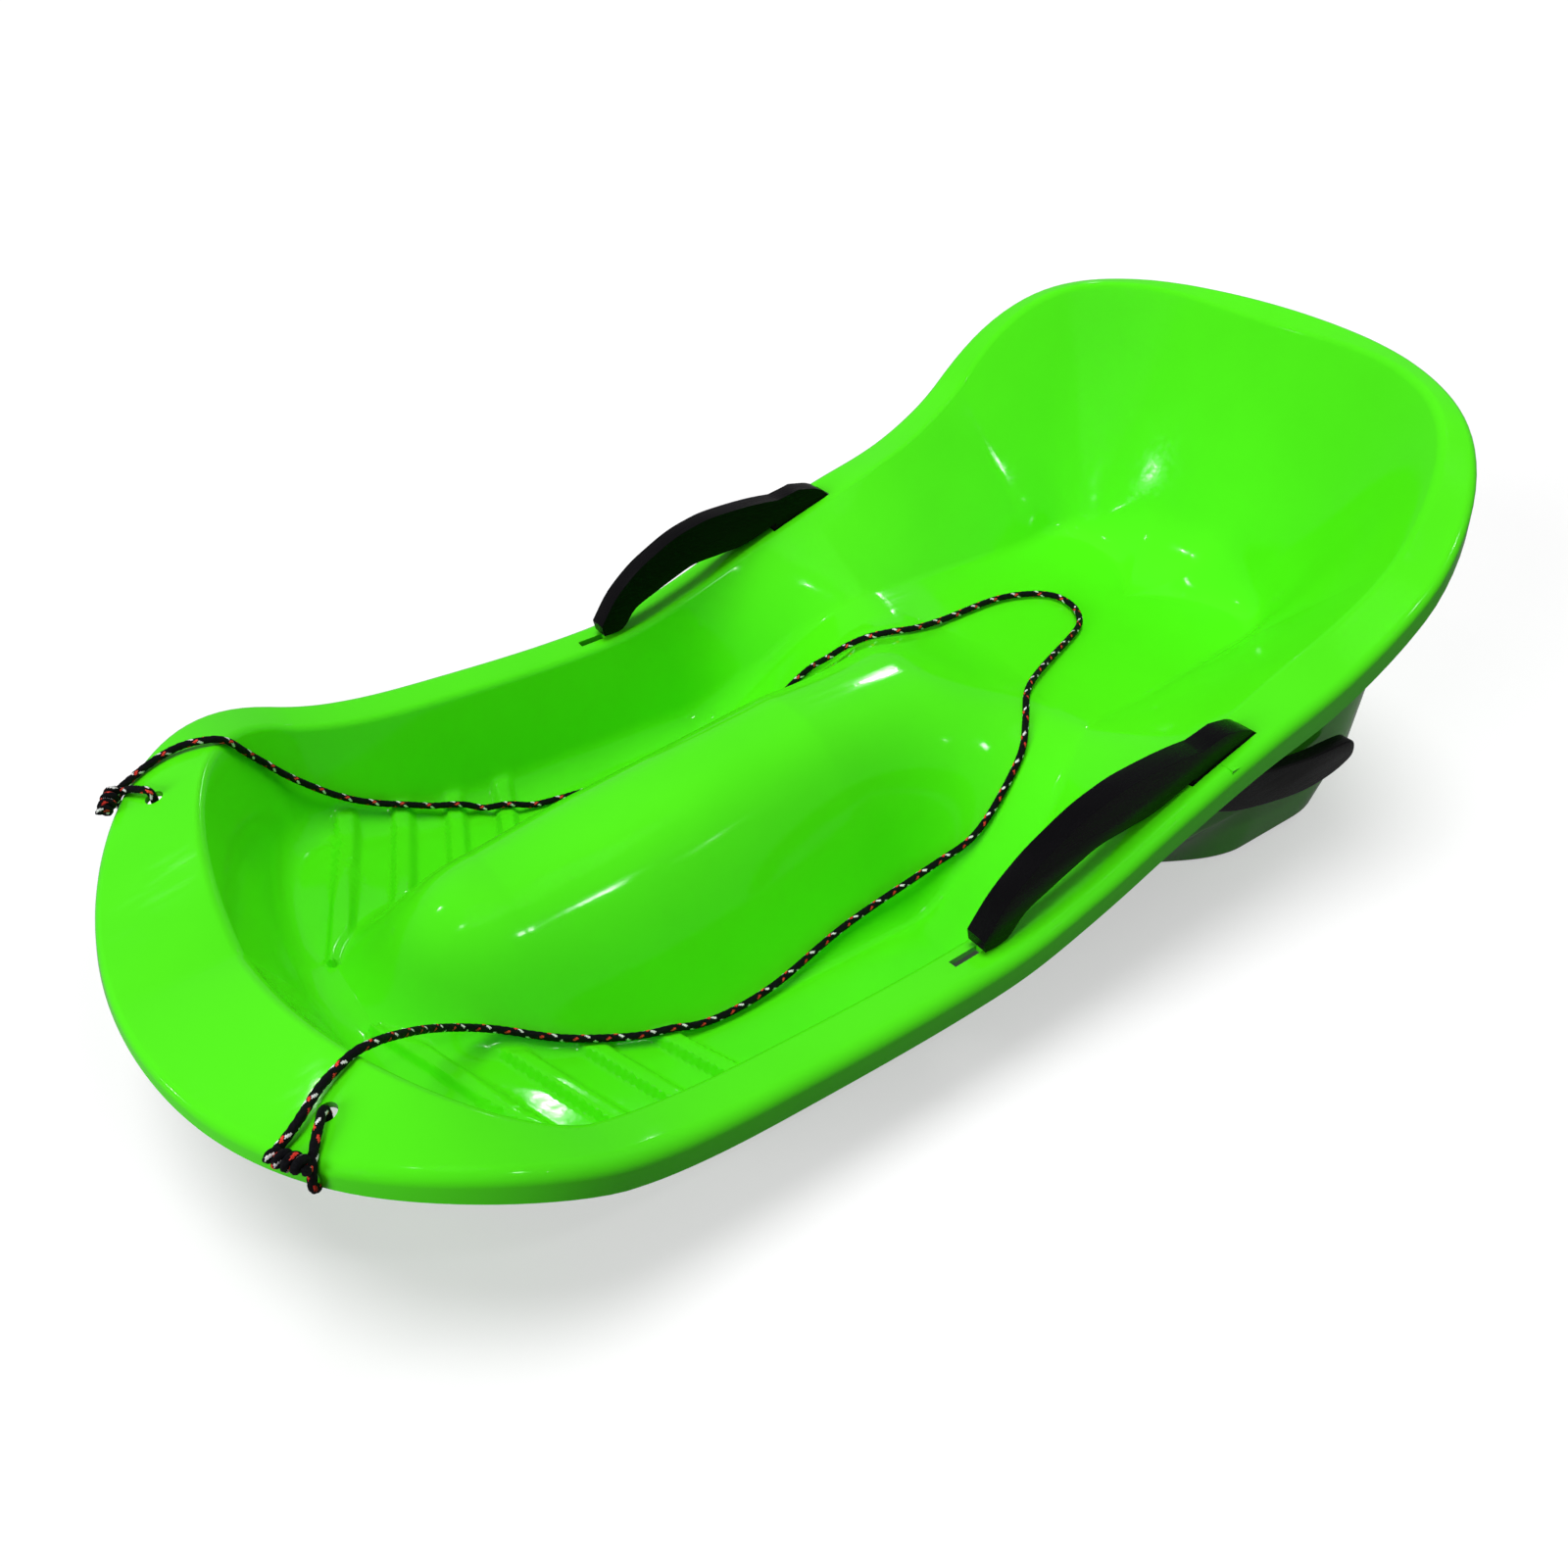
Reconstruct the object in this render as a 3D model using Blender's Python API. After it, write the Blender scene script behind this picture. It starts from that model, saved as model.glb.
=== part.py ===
"""Children's plastic snow sled with two brake levers and a pull rope.

Metres, +Z up, origin on the ground under the middle of the sled.
The nose points to -Y, the backrest stands at +Y, and the sled is the same on both sides of X = 0.
"""
import math

import bmesh
import bpy
from mathutils import Matrix, Vector
from mathutils.bvhtree import BVHTree

# Hull plan, measured on the crest of the rim
HALF_WIDTH = 0.243          # middle to the outer crest of the rim
NOSE_RUN = 0.170            # length of the rounded nose
STRAIGHT_RUN = 0.619        # length of the straight sides
TAIL_RUN = 0.133            # length of the rounded tail
NOSE_FLANGE = 0.068         # width of the flat rim at the tip of the nose
SIDE_FLANGE = 0.032         # width of the flat rim along the sides
TAIL_FLANGE = 0.018         # width of the rim over the backrest
WAIST = 0.004               # how far the rim widens inwards beside the seat
WAIST_START = 0.520         # where the rim starts to widen
WAIST_FULL = 0.660
WAIST_FADE = 0.700          # where it starts to narrow again
WAIST_END = 0.790
SKIN = 0.004                # wall of the moulded hull
LIP_DROP_NOSE = 0.008       # height of the rim's turned-down lip at the nose
LIP_DROP = 0.021            # the same along the sides
LIP_DROP_TAIL = 0.010       # the same at the top of the backrest
LIP_FLARE = 0.002           # how far the lip leans out
CREST_ROUND = 0.009         # rounding of the rim's outer corner
EDGE_ROUND = 0.007          # rounding of the rim's inner corner

# Rim height above the ground, as distance from the tip of the nose and height
RIM_LINE = (
    (0.000, 0.110), (0.040, 0.124), (0.090, 0.132), (0.135, 0.125), (0.190, 0.105), (0.260, 0.096),
    (0.430, 0.095), (0.505, 0.114), (0.570, 0.139), (0.640, 0.162), (0.717, 0.181), (0.782, 0.217),
    (0.826, 0.265), (0.864, 0.302), (0.895, 0.319), (0.922, 0.329),
)
EDGE_DROP_SIDE = 0.004      # inner corner of the rim under its crest, along the sides
EDGE_LIFT_CORNER = 0.012    # inner corner over that line, at the corners of the nose
EDGE_LIFT_NOSE = 0.006      # the same at the tip of the nose
EDGE_DROP_TAIL = 0.007      # inner corner under that line, over the backrest
EDGE_POWER = 2.2            # squareness of the inner corner's line round the tail
EDGE_LIFT_SEAT = 0.006      # inner corner over the crest, beside the seat
LIFT_START = 0.628          # where that lift begins
LIFT_FULL = 0.710           # where it is reached

# Tub: the footwells, the ridge between the legs, the seat and the backrest
FOOTWELL_INSET = 0.031      # rim's inner corner to the corner of wall and floor, in the footwell
SEAT_HALF = 0.112           # middle to the crease of the seat
SEAT_FLARE = 0.006          # extra half width of the seat at its front
SEAT_WIDE_RUN = 0.642       # where the seat has that width
SEAT_TAPER = 0.009          # how much it narrows towards the backrest
TAPER_START = 0.640
TAPER_END = 0.790
FOOTWELL_NOSE_RUN = 0.068   # reach of the footwell floor into the nose
SEAT_TAIL_RUN = 0.055       # reach of the seat floor into the tail
NOSE_POWER = 2.2            # squareness of the floor in the nose
SEAT_POWER = 4.0            # the same of the seat's rear corners
WELL_END = 0.470            # where the footwell starts to rise to the seat
SEAT_START = 0.622          # where the seat floor begins
FLOOR_NOSE = 0.050          # height of the floor at its front end
FLOOR_SLOPE_START = 0.078   # where the floor starts to fall
FLOOR_SLOPE_END = 0.300     # where the sloping front of the floor ends
SEAT_HEIGHT = 0.116
SEAT_DISH = 0.005           # how far the middle of the seat is hollowed
FOOT_ROUND = 0.030          # rounding between wall and floor in the footwell
SEAT_ROUND = 0.018          # the same beside the seat
BACK_ROUND = 0.090          # the same between seat and backrest
BACK_ROUND_FROM = 10.0      # direction round the tail, in degrees, where that rounding begins
BACK_ROUND_FULL = 72.0      # where it is reached
BACK_RISE = 0.008           # how far the seat rises at its rear end
BACK_RISE_RUN = 0.090       # length of that rise
INWARD = 0.74               # inner end of the rounding at the foot, as a share of the floor
INWARD_BACK = 0.05          # the same under the backrest
RIDGE_HALF = 0.116          # half width of the ridge at its foot
RIDGE_FRONT_HALF = 0.094    # the same at the ridge's rounded front
RIDGE_TIP = 0.108           # where the ridge begins
RIDGE_FRONT_RUN = 0.112     # length of its rounded front
RIDGE_FRONT_TOP = 0.096     # height of its top there
RIDGE_TOP = 0.130           # height of its highest part
RIDGE_TOP_START = 0.450     # where that height is reached
RIDGE_WIDEN_RUN = 0.180     # where it starts to widen
RIDGE_WIDE_RUN = 0.300      # where it has its full width
RIDGE_FALL_RUN = 0.545      # where its top starts to fall to the seat
RIDGE_END_RUN = 0.645       # where it ends in the seat
RIDGE_FLAT = 2.8            # how flat its top is
RIDGE_FLANK = 1.8           # how softly its flanks end on the floor

# Outer wall round the hollow under the seat
KNUCKLE_INSET = 0.036       # rim's outer crest to the wall's lower bend
KNUCKLE_HEIGHT = 0.062
KNUCKLE_TAIL_RUN = 0.108    # reach of that bend into the tail
BASE_INSET = 0.047          # rim's outer crest to the wall's foot on the ground
BASE_FRONT_INSET = 0.103    # the same at the front of the hollow
BASE_TAIL_RUN = 0.088       # reach of the foot into the tail
BASE_ROUND = 0.010
BASE_POWER = 2.6            # squareness of the foot and the bend round the tail
KNUCKLE_ROUND = 0.018       # rounding of the lower bend
BILGE_ROUND = 0.030         # the same where the hull has one wall
RUNNER_WIDTH = 0.045        # strip turned in along the foot of the wall
RUNNER_TAIL_WIDTH = 0.027   # the same strip under the backrest
HOLLOW_SKIN = 0.006         # wall between the hollow and the tub
HOLLOW_INSET = 0.020        # how far the hollow reaches past the strip's inner end
HOLLOW_BEND = 0.010         # rounding at the hollow's top
HOLLOW_START = 0.470        # where the hollow under the seat opens
HOLLOW_FULL = 0.600         # where it has its full size
BASE_FULL = 0.730           # where the foot has its full width

# Brake levers
LEVER_INSET = 0.021         # rim's outer crest to the lever's middle plane
HUB_WIDTH = 0.015           # thickness of the hub and of the grip
HUB_RADIUS = 0.0325
PADDLE_THICK = 0.011
PIVOT_RUN = 0.622           # distance of the pivot from the tip of the nose
PIVOT_DROP = 0.018          # pivot under the rim's surface
HUB_GAP = 0.0010            # clearance of the hub in its slot
PIN_RADIUS = 0.0035
PIN_GAP = 0.0003            # clearance round the pin
PIN_HEAD_RADIUS = 0.0055
PIN_HEAD_THICK = 0.0020
PIN_SEAT = 0.0040           # depth of the pin's hole in its lug
LUG_HALF = 0.010            # half length of the lug on the inside of the lip
LUG_DROP = 0.003            # how far the lug hangs under the lip
PIN_HEAD_GAP = 0.0012       # clearance of the pin's head in the hollow
WASHER_RADIUS = 0.0085
WASHER_THICK = 0.0008
CLIP_RADIUS = 0.0065
CLIP_THICK = 0.0008
REST_GAP = 0.0004           # gap between faces that touch
EDGE_SOFT = 0.003           # rounding of the lever's edges
TIP_SLOT_WIDTH = 0.006      # slot in the rim in front of the grip's tip
TIP_SLOT_LENGTH = 0.022
TIP_SLOT_RUN = 0.413
CUT = 0.02                  # how far a cutter reaches past what it cuts

# Grip from its toe to the hub: run from the pivot and height over the rim, top and underside
GRIP_TOP = (
    (-0.203, 0.010), (-0.188, 0.030), (-0.168, 0.044), (-0.149, 0.050), (-0.130, 0.053),
    (-0.112, 0.052), (-0.093, 0.048), (-0.054, 0.033), (-0.029, 0.022),
)
GRIP_UNDER = (
    (-0.201, 0.001), (-0.184, 0.001), (-0.171, 0.013), (-0.152, 0.017), (-0.132, 0.019),
    (-0.113, 0.019), (-0.087, 0.011), (-0.066, 0.004), (-0.045, 0.0022), (-0.031, 0.0025),
)

# Crown of the hub behind the grip: run and height from the pivot
HUB_CROWN = ((-0.018, 0.0325), (-0.008, 0.0345))
HUB_ARC = (82.0, -198.0)    # where the hub's round edge begins and ends, in degrees

# Paddle behind the hub: run from the pivot and height against the pivot
PADDLE = (
    (0.018, -0.006), (0.045, -0.019), (0.075, -0.027), (0.114, -0.034), (0.150, -0.037), (0.163, -0.041),
    (0.167, -0.052), (0.161, -0.058), (0.143, -0.063), (0.116, -0.064), (0.084, -0.059), (0.040, -0.048),
    (0.014, -0.038), (0.000, -0.029),
)

# Pull rope
ROPE = 0.005                # diameter
HOLE_RADIUS = 0.0055
HOLE_RUN = 0.065            # distance of the rope holes from the tip of the nose
HOLE_INSET = 0.0411         # rim's outer crest to the hole's middle, straight across
KNOT_RADIUS = 0.0056
KNOT_OUT = 0.0034           # knot's middle outside the rim's crest
KNOT_UP = 0.0032            # knot's middle above the rim's crest
KNOT_SHIFT = -2.5           # knot's middle from the rope hole, in degrees round the nose
KNOT_TURN = 4.6             # half length of the knot, in degrees round the nose
KNOT_GAP = 0.0024           # clearance between the rope's end and its knot
ROPE_END_RIGHT = -2.8       # where the rope ends at the right knot, in degrees from its middle
ROPE_END_LEFT = 5.0         # the same at the left knot
ROPE_STEP = 0.0205          # distance between the rope's points
ROPE_GAP = 0.0005           # clearance between the rope and the hull

# Loop of rope through a rope hole and round the lip, as distance out from the crest and height over it
ROPE_LOOP = (
    (-0.0265, 0.0020), (-0.0245, 0.0082), (-0.0175, 0.0078), (-0.0090, 0.0058), (-0.0002, 0.0012),
    (0.0056, -0.0070), (0.0058, -0.0160), (0.0000, -0.0212), (-0.0080, -0.0165), (-0.0150, -0.0100),
    (-0.0235, -0.0060),
)

# Way of the rope between its ends: side, run from the nose and height of its middle, from right to left
ROPE_ROUTE = (
    (0.150, 0.053, 0.133), (0.142, 0.061, 0.134), (0.134, 0.076, 0.137),
    (0.128, 0.094, 0.137), (0.108, 0.117, 0.113), (0.081, 0.144, 0.076), (0.073, 0.177, 0.047),
    (0.092, 0.221, 0.027), (0.111, 0.287, 0.011), (0.114, 0.346, 0.011), (0.104, 0.420, 0.022),
    (0.103, 0.499, 0.036), (0.110, 0.532, 0.055), (0.102, 0.574, 0.097), (0.087, 0.592, 0.112),
    (0.057, 0.626, 0.117), (0.022, 0.709, 0.115), (0.010, 0.729, 0.115), (-0.012, 0.742, 0.115),
    (-0.036, 0.738, 0.115), (-0.052, 0.700, 0.116), (-0.052, 0.636, 0.116), (-0.052, 0.585, 0.119),
    (-0.081, 0.557, 0.098), (-0.111, 0.550, 0.072), (-0.124, 0.525, 0.042), (-0.133, 0.480, 0.009),
    (-0.144, 0.390, 0.008), (-0.158, 0.305, 0.008), (-0.173, 0.273, 0.014), (-0.184, 0.198, 0.046),
    (-0.188, 0.158, 0.080), (-0.188, 0.140, 0.103), (-0.180, 0.118, 0.133), (-0.184, 0.098, 0.139),
    (-0.185, 0.082, 0.136), (-0.181, 0.067, 0.133),
)

TOTAL = NOSE_RUN + STRAIGHT_RUN + TAIL_RUN
NOSE_TIP = -TOTAL / 2
NOSE_CENTRE = NOSE_TIP + NOSE_RUN
TAIL_CENTRE = NOSE_CENTRE + STRAIGHT_RUN
LEVER_X = HALF_WIDTH - LEVER_INSET

# Fineness of the hull's mesh
NOSE_STEPS = 9
SIDE_STEPS = 20
ROUND_SIDES = 24
TAIL_STEPS = 12
WALL_STEPS = 3
INNER_STEPS = 11


def clear_scene():
    for item in list(bpy.data.objects):
        bpy.data.objects.remove(item, do_unlink=True)


def material(name, colour, roughness, metallic=0.0):
    made = bpy.data.materials.new(name)
    made.use_nodes = True
    shader = made.node_tree.nodes["Principled BSDF"]
    shader.inputs["Base Color"].default_value = (*colour, 1.0)
    shader.inputs["Roughness"].default_value = roughness
    shader.inputs["Metallic"].default_value = metallic
    return made


def hull_plastic():
    return material("hull_plastic", (0.08, 0.80, 0.01), 0.22)


def lever_plastic():
    return material("lever_plastic", (0.012, 0.012, 0.013), 0.35)


def rope_cord():
    return material("rope_cord", (0.02, 0.02, 0.022), 0.85)


def pin_steel():
    return material("pin_steel", (0.60, 0.61, 0.63), 0.28, 1.0)


def blend(value, low, high):
    """Smooth step from 0 at low to 1 at high."""
    share = min(1.0, max(0.0, (value - low) / (high - low)))
    return share * share * (3.0 - 2.0 * share)


def mix(first, second, share):
    return first + (second - first) * share


def through(line, where):
    """Height of a smooth curve through the points of a line."""
    if where <= line[0][0]:
        return line[0][1]
    if where >= line[-1][0]:
        return line[-1][1]
    index = next(i for i in range(len(line) - 1) if line[i + 1][0] >= where)

    def slope(i):
        low, high = max(0, i - 1), min(len(line) - 1, i + 1)
        return (line[high][1] - line[low][1]) / (line[high][0] - line[low][0])

    (x0, y0), (x1, y1) = line[index], line[index + 1]
    run = x1 - x0
    t = (where - x0) / run
    return ((2 * t ** 3 - 3 * t ** 2 + 1) * y0 + (t ** 3 - 2 * t ** 2 + t) * run * slope(index)
            + (3 * t ** 2 - 2 * t ** 3) * y1 + (t ** 3 - t ** 2) * run * slope(index + 1))


def rim_height(y):
    return through(RIM_LINE, y - NOSE_TIP)


def reach(angle, wide, deep, power):
    """Radius of a superellipse, seen from its centre."""
    side = (abs(math.cos(angle)) / wide) ** power
    end = (abs(math.sin(angle)) / deep) ** power
    return (side + end) ** (-1.0 / power)


def seat_share(run):
    return blend(run, WELL_END, SEAT_START)


def inner_half(run):
    """Half width between the rim's inner corners along the straight sides."""
    waist = WAIST * blend(run, WAIST_START, WAIST_FULL) * (1 - blend(run, WAIST_FADE, WAIST_END))
    return HALF_WIDTH - SIDE_FLANGE - waist


def foot_half(run):
    """Half width of the floor along the straight sides."""
    well = HALF_WIDTH - SIDE_FLANGE - FOOTWELL_INSET
    half = mix(well, SEAT_HALF + SEAT_FLARE, blend(run, WELL_END, SEAT_WIDE_RUN))
    return half - SEAT_TAPER * blend(run, TAPER_START, TAPER_END)


def hollow_share(run):
    return blend(run, HOLLOW_START, HOLLOW_FULL)


def floor_height(x, y):
    """Height of the tub's floor, with the ridge and the seat."""
    run = y - NOSE_TIP
    slope = mix(FLOOR_NOSE, SKIN, blend(run, FLOOR_SLOPE_START, FLOOR_SLOPE_END))
    dish = SEAT_DISH * max(0.0, 1 - (x / SEAT_HALF) ** 2) * seat_share(run)
    rear = max(0.0, (run - TOTAL + TAIL_RUN - SEAT_TAIL_RUN) / BACK_RISE_RUN + 1)
    ground = mix(slope, SEAT_HEIGHT, seat_share(run)) - dish + BACK_RISE * rear ** 2
    front_end = RIDGE_TIP + RIDGE_FRONT_RUN
    half = mix(RIDGE_FRONT_HALF, RIDGE_HALF, blend(run, RIDGE_WIDEN_RUN, RIDGE_WIDE_RUN))
    ahead = max(0.0, (front_end - run) / RIDGE_FRONT_RUN)
    away = math.hypot(x / half, ahead)
    climb = min(1.0, max(0.0, (run - front_end) / (RIDGE_TOP_START - front_end)))
    top = mix(RIDGE_FRONT_TOP, RIDGE_TOP, climb)
    top = mix(top, SEAT_HEIGHT - SEAT_DISH, blend(run, RIDGE_FALL_RUN, RIDGE_END_RUN))
    if away >= 1.0 or top <= ground:
        return ground
    return ground + (top - ground) * (1 - away ** RIDGE_FLAT) ** RIDGE_FLANK


class Station:
    """One half section of the hull, in the upright plane through a centre line and the rim."""

    def __init__(self, kind, value):
        self.kind = kind
        self.angle = value if kind != "side" else 0.0
        self.centre = {"nose": NOSE_CENTRE, "side": value, "tail": TAIL_CENTRE}[kind]
        self.turn = abs(math.sin(self.angle)) if kind != "side" else 0.0

    def span(self, half, nose_run, tail_run, nose_power=2.0, tail_power=2.0):
        if self.kind == "nose":
            return reach(self.angle, half, nose_run, nose_power)
        if self.kind == "tail":
            return reach(self.angle, half, tail_run, tail_power)
        return half

    def point(self, radius, height):
        return (radius * math.cos(self.angle), self.centre + radius * math.sin(self.angle), height)

    def run(self):
        """Distance of this section's crest from the tip of the nose."""
        return self.point(self.crest(), 0.0)[1] - NOSE_TIP

    def crest(self):
        return self.span(HALF_WIDTH, NOSE_RUN, TAIL_RUN)

    def edge(self):
        half = inner_half(self.centre - NOSE_TIP)
        return self.span(half, NOSE_RUN - NOSE_FLANGE, TAIL_RUN - TAIL_FLANGE, 2.0, EDGE_POWER)

    def foot(self):
        half = foot_half(self.centre - NOSE_TIP)
        return self.span(half, FOOTWELL_NOSE_RUN, SEAT_TAIL_RUN, NOSE_POWER, SEAT_POWER)

    def edge_lift(self):
        if self.kind == "side":
            run = self.centre - NOSE_TIP
            return mix(-EDGE_DROP_SIDE, EDGE_LIFT_SEAT, blend(run, LIFT_START, LIFT_FULL))
        if self.kind == "tail":
            return mix(EDGE_LIFT_SEAT, -EDGE_DROP_SIDE - EDGE_DROP_TAIL, self.turn ** 2)
        corner = math.sin(2 * abs(self.angle))
        return -EDGE_DROP_SIDE + EDGE_LIFT_CORNER * corner + EDGE_LIFT_NOSE * self.turn ** 2

    def lip_drop(self):
        end = {"nose": LIP_DROP_NOSE, "side": LIP_DROP, "tail": LIP_DROP_TAIL}[self.kind]
        return mix(LIP_DROP, end, self.turn)

    def floor(self, radius):
        x, y, _ = self.point(radius, 0.0)
        return floor_height(x, y)


def all_stations(nose_steps, side_steps, tail_steps):
    made = [Station("nose", -math.pi / 2 * (1 - i / nose_steps)) for i in range(nose_steps)]
    made += [Station("side", NOSE_CENTRE + STRAIGHT_RUN * i / side_steps) for i in range(side_steps)]
    made += [Station("tail", math.pi / 2 * i / tail_steps) for i in range(tail_steps + 1)]
    return made


def offset_line(points, distance):
    """Corner points of an open polyline moved sideways, to its right."""
    moved = []
    for index, (a, b) in enumerate(points):
        normals = []
        for first, second in ((index - 1, index), (index, index + 1)):
            if first < 0 or second >= len(points):
                continue
            dx = points[second][0] - points[first][0]
            dz = points[second][1] - points[first][1]
            size = math.hypot(dx, dz)
            normals.append((dz / size, -dx / size))
        if len(normals) == 1:
            nx, nz = normals[0]
            moved.append((a + nx * distance, b + nz * distance))
            continue
        (n0x, n0z), (n1x, n1z) = normals
        scale = distance / (1 + n0x * n1x + n0z * n1z)
        moved.append((a + (n0x + n1x) * scale, b + (n0z + n1z) * scale))
    return moved


def rounded(points, radii, steps):
    """Open polyline with its inner corners rounded, always with the same number of points."""
    made = [points[0]]
    for i in range(1, len(points) - 1):
        before, corner, after = (Vector(points[j]) for j in (i - 1, i, i + 1))
        back, ahead = (before - corner), (after - corner)
        flat = min(back.length, ahead.length) < 0.0001
        half = 0.0 if flat else back.angle(ahead) / 2
        if flat or radii[i] <= 0 or half > math.radians(89.5):
            made += [tuple(corner)] * (steps[i] + 1)
            continue
        room = 0.95 if i == len(points) - 2 else 0.48
        cut = min(radii[i] / math.tan(half), 0.48 * back.length, room * ahead.length)
        start, end = corner + back.normalized() * cut, corner + ahead.normalized() * cut
        middle = corner + (back.normalized() + ahead.normalized()).normalized() * (cut / math.cos(half))
        low, high = start - middle, end - middle
        for k in range(steps[i] + 1):
            share = k / steps[i]
            ray = low.lerp(high, share).normalized() * mix(low.length, high.length, share)
            made.append(tuple(middle + ray))
    made.append(points[-1])
    return made


def top_line(station):
    """Corner points of the hull's upper surface, from the lip to the floor."""
    crest, edge, foot = station.crest(), station.edge(), station.foot()
    rim = rim_height(station.point(crest, 0)[1])
    inward = mix(INWARD, INWARD_BACK, back_share(station)) * foot
    return [
        (crest + LIP_FLARE, rim - station.lip_drop()),
        (crest, rim),
        (edge, rim + station.edge_lift()),
        (foot, station.floor(foot)),
        (inward, station.floor(inward)),
    ]


def back_share(station):
    """0 beside the seat and in front of it, 1 at the backrest."""
    if station.kind != "tail":
        return 0.0
    return blend(math.degrees(station.angle), BACK_ROUND_FROM, BACK_ROUND_FULL)


def foot_round(station):
    if station.kind == "tail":
        return mix(SEAT_ROUND, BACK_ROUND, back_share(station))
    return mix(FOOT_ROUND, SEAT_ROUND, seat_share(station.run()))


def outer_points(station, under):
    """Outer wall below the rim: its top, its lower bend, its foot and the inner end of its runner."""
    run = station.run()
    turn = math.degrees(station.angle)
    top, foot, inward = under[2], under[3], under[4]
    share = hollow_share(run)
    open_below = run > HOLLOW_START
    bend_half = HALF_WIDTH - KNUCKLE_INSET
    knuckle = station.span(bend_half, 0.0, KNUCKLE_TAIL_RUN, 2.0, BASE_POWER) if open_below else 0.0
    width = HALF_WIDTH - mix(BASE_FRONT_INSET, BASE_INSET, blend(run, HOLLOW_FULL, BASE_FULL))
    wide = max(width, foot[0])
    base = station.span(wide, 0.0, BASE_TAIL_RUN, 2.0, BASE_POWER) if open_below else 0.0
    strip = mix(RUNNER_WIDTH, RUNNER_TAIL_WIDTH, blend(turn, 0, 60))
    along = (top[0] + (foot[0] - top[0]) * 0.5, top[1] + (foot[1] - top[1]) * 0.5)
    wall_top = (mix(top[0], station.edge() + SKIN, share), top[1])
    return [
        wall_top,
        (mix(along[0], knuckle, share), mix(along[1], KNUCKLE_HEIGHT, share)),
        (mix(foot[0], base, share), mix(foot[1], 0.0, share)),
        (mix(inward[0], base - strip, share), mix(inward[1], 0.0, share)),
    ]


def split(points, index, parts):
    """The line with extra points on the stretch that starts at the given index."""
    first, second = points[index], points[index + 1]
    shares = [k / parts for k in range(1, parts)]
    extra = [(mix(first[0], second[0], s), mix(first[1], second[1], s)) for s in shares]
    return points[:index + 1] + extra + points[index + 1:]


def underside(station):
    line = top_line(station)
    under = offset_line(line, -SKIN)
    inward = INWARD * station.foot()
    under[4] = (inward, station.floor(inward) - SKIN)
    return line, under


def half_section(station, inner_steps):
    """Half section of the hull: its top from the lip to the middle, and its underside likewise."""
    line, under = underside(station)
    bend = foot_round(station)
    top = rounded(line, (0, CREST_ROUND, EDGE_ROUND, bend, 0), (0, 3, 3, 4, 0))
    top = split(top, 8, WALL_STEPS)
    outer = outer_points(station, under)
    share = hollow_share(station.run())
    lip = rounded([under[0], under[1], outer[0]], (0, CREST_ROUND - SKIN, 0), (0, 2, 0))
    bends = (0, mix(BILGE_ROUND, KNUCKLE_ROUND, share), mix(bend, BASE_ROUND, share), 0)
    bottom = rounded(outer, bends, (0, 2, 3, 0))
    shares = [1 - i / inner_steps for i in range(1, inner_steps + 1)]
    upper = top + [(s * line[4][0], station.floor(s * line[4][0])) for s in shares]
    below = [(s * under[4][0], station.floor(s * under[4][0]) - SKIN) for s in shares]
    lower = lip + bottom[1:] + [under[4]] + below
    return [station.point(*p) for p in upper], [station.point(*p) for p in lower]


def hollow_section(station):
    """Section of the hollow between the outer wall and the tub."""
    line, under = underside(station)
    outer = outer_points(station, under)
    top, foot, _ = offset_line(line, -HOLLOW_SKIN)[2:5]
    inward = (under[4][0], under[4][1] + SKIN - HOLLOW_SKIN)
    depth = (top[0] - outer[0][0] + SKIN) / (top[0] - foot[0])
    points = [
        (outer[3][0] - HOLLOW_INSET, outer[3][1] + SKIN),
        (outer[2][0] - SKIN, outer[2][1] + SKIN),
        (outer[1][0] - SKIN, outer[1][1] + SKIN / 2),
        (mix(top[0], foot[0], depth), mix(top[1], foot[1], depth)),
        foot,
        (inward[0] - HOLLOW_INSET, inward[1] - SKIN / 2),
    ]
    bend = foot_round(station)
    radii = (0, 0, SKIN, HOLLOW_BEND, 0, bend, 0, 0)
    points = rounded([points[-1]] + points + [points[0]], radii, (0, 0, 2, 2, 0, 3, 0, 0))[1:-1]
    points = split(points, 8, WALL_STEPS)
    return [station.point(r, z) for r, z in points]


def hollow_tool():
    """Cutter for the hollow: one tube round the tail, closed at both front ends."""
    step = STRAIGHT_RUN / SIDE_STEPS
    places = [NOSE_CENTRE + step * i for i in range(SIDE_STEPS)]
    places = [y for y in places if y - NOSE_TIP > HOLLOW_FULL]
    half = [hollow_section(Station("side", y)) for y in [places[0] - step / 3] + places]
    half += [hollow_section(Station("tail", math.pi / 2 * i / TAIL_STEPS)) for i in range(TAIL_STEPS + 1)]
    whole = half + [[(-x, y, z) for x, y, z in section] for section in half[-2::-1]]
    mesh = bmesh.new()
    rings = [[mesh.verts.new(p) for p in section] for section in whole]
    count = len(rings[0])
    for first, second in zip(rings, rings[1:]):
        for i in range(count):
            j = (i + 1) % count
            mesh.faces.new((first[i], first[j], second[j], second[i]))
    mesh.faces.new(rings[0][::-1])
    mesh.faces.new(rings[-1])
    bmesh.ops.remove_doubles(mesh, verts=mesh.verts, dist=0.00002)
    bmesh.ops.recalc_face_normals(mesh, faces=mesh.faces)
    data = bpy.data.meshes.new("hollow")
    mesh.to_mesh(data)
    mesh.free()
    made = bpy.data.objects.new("hollow", data)
    bpy.context.scene.collection.objects.link(made)
    return made


def grid_faces(columns, rows, flip):
    faces = []
    for i in range(columns - 1):
        for j in range(rows - 1):
            a, b = i * rows + j, (i + 1) * rows + j
            face = (a, b, b + 1, a + 1)
            faces.append(face[::-1] if flip else face)
    return faces


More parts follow.
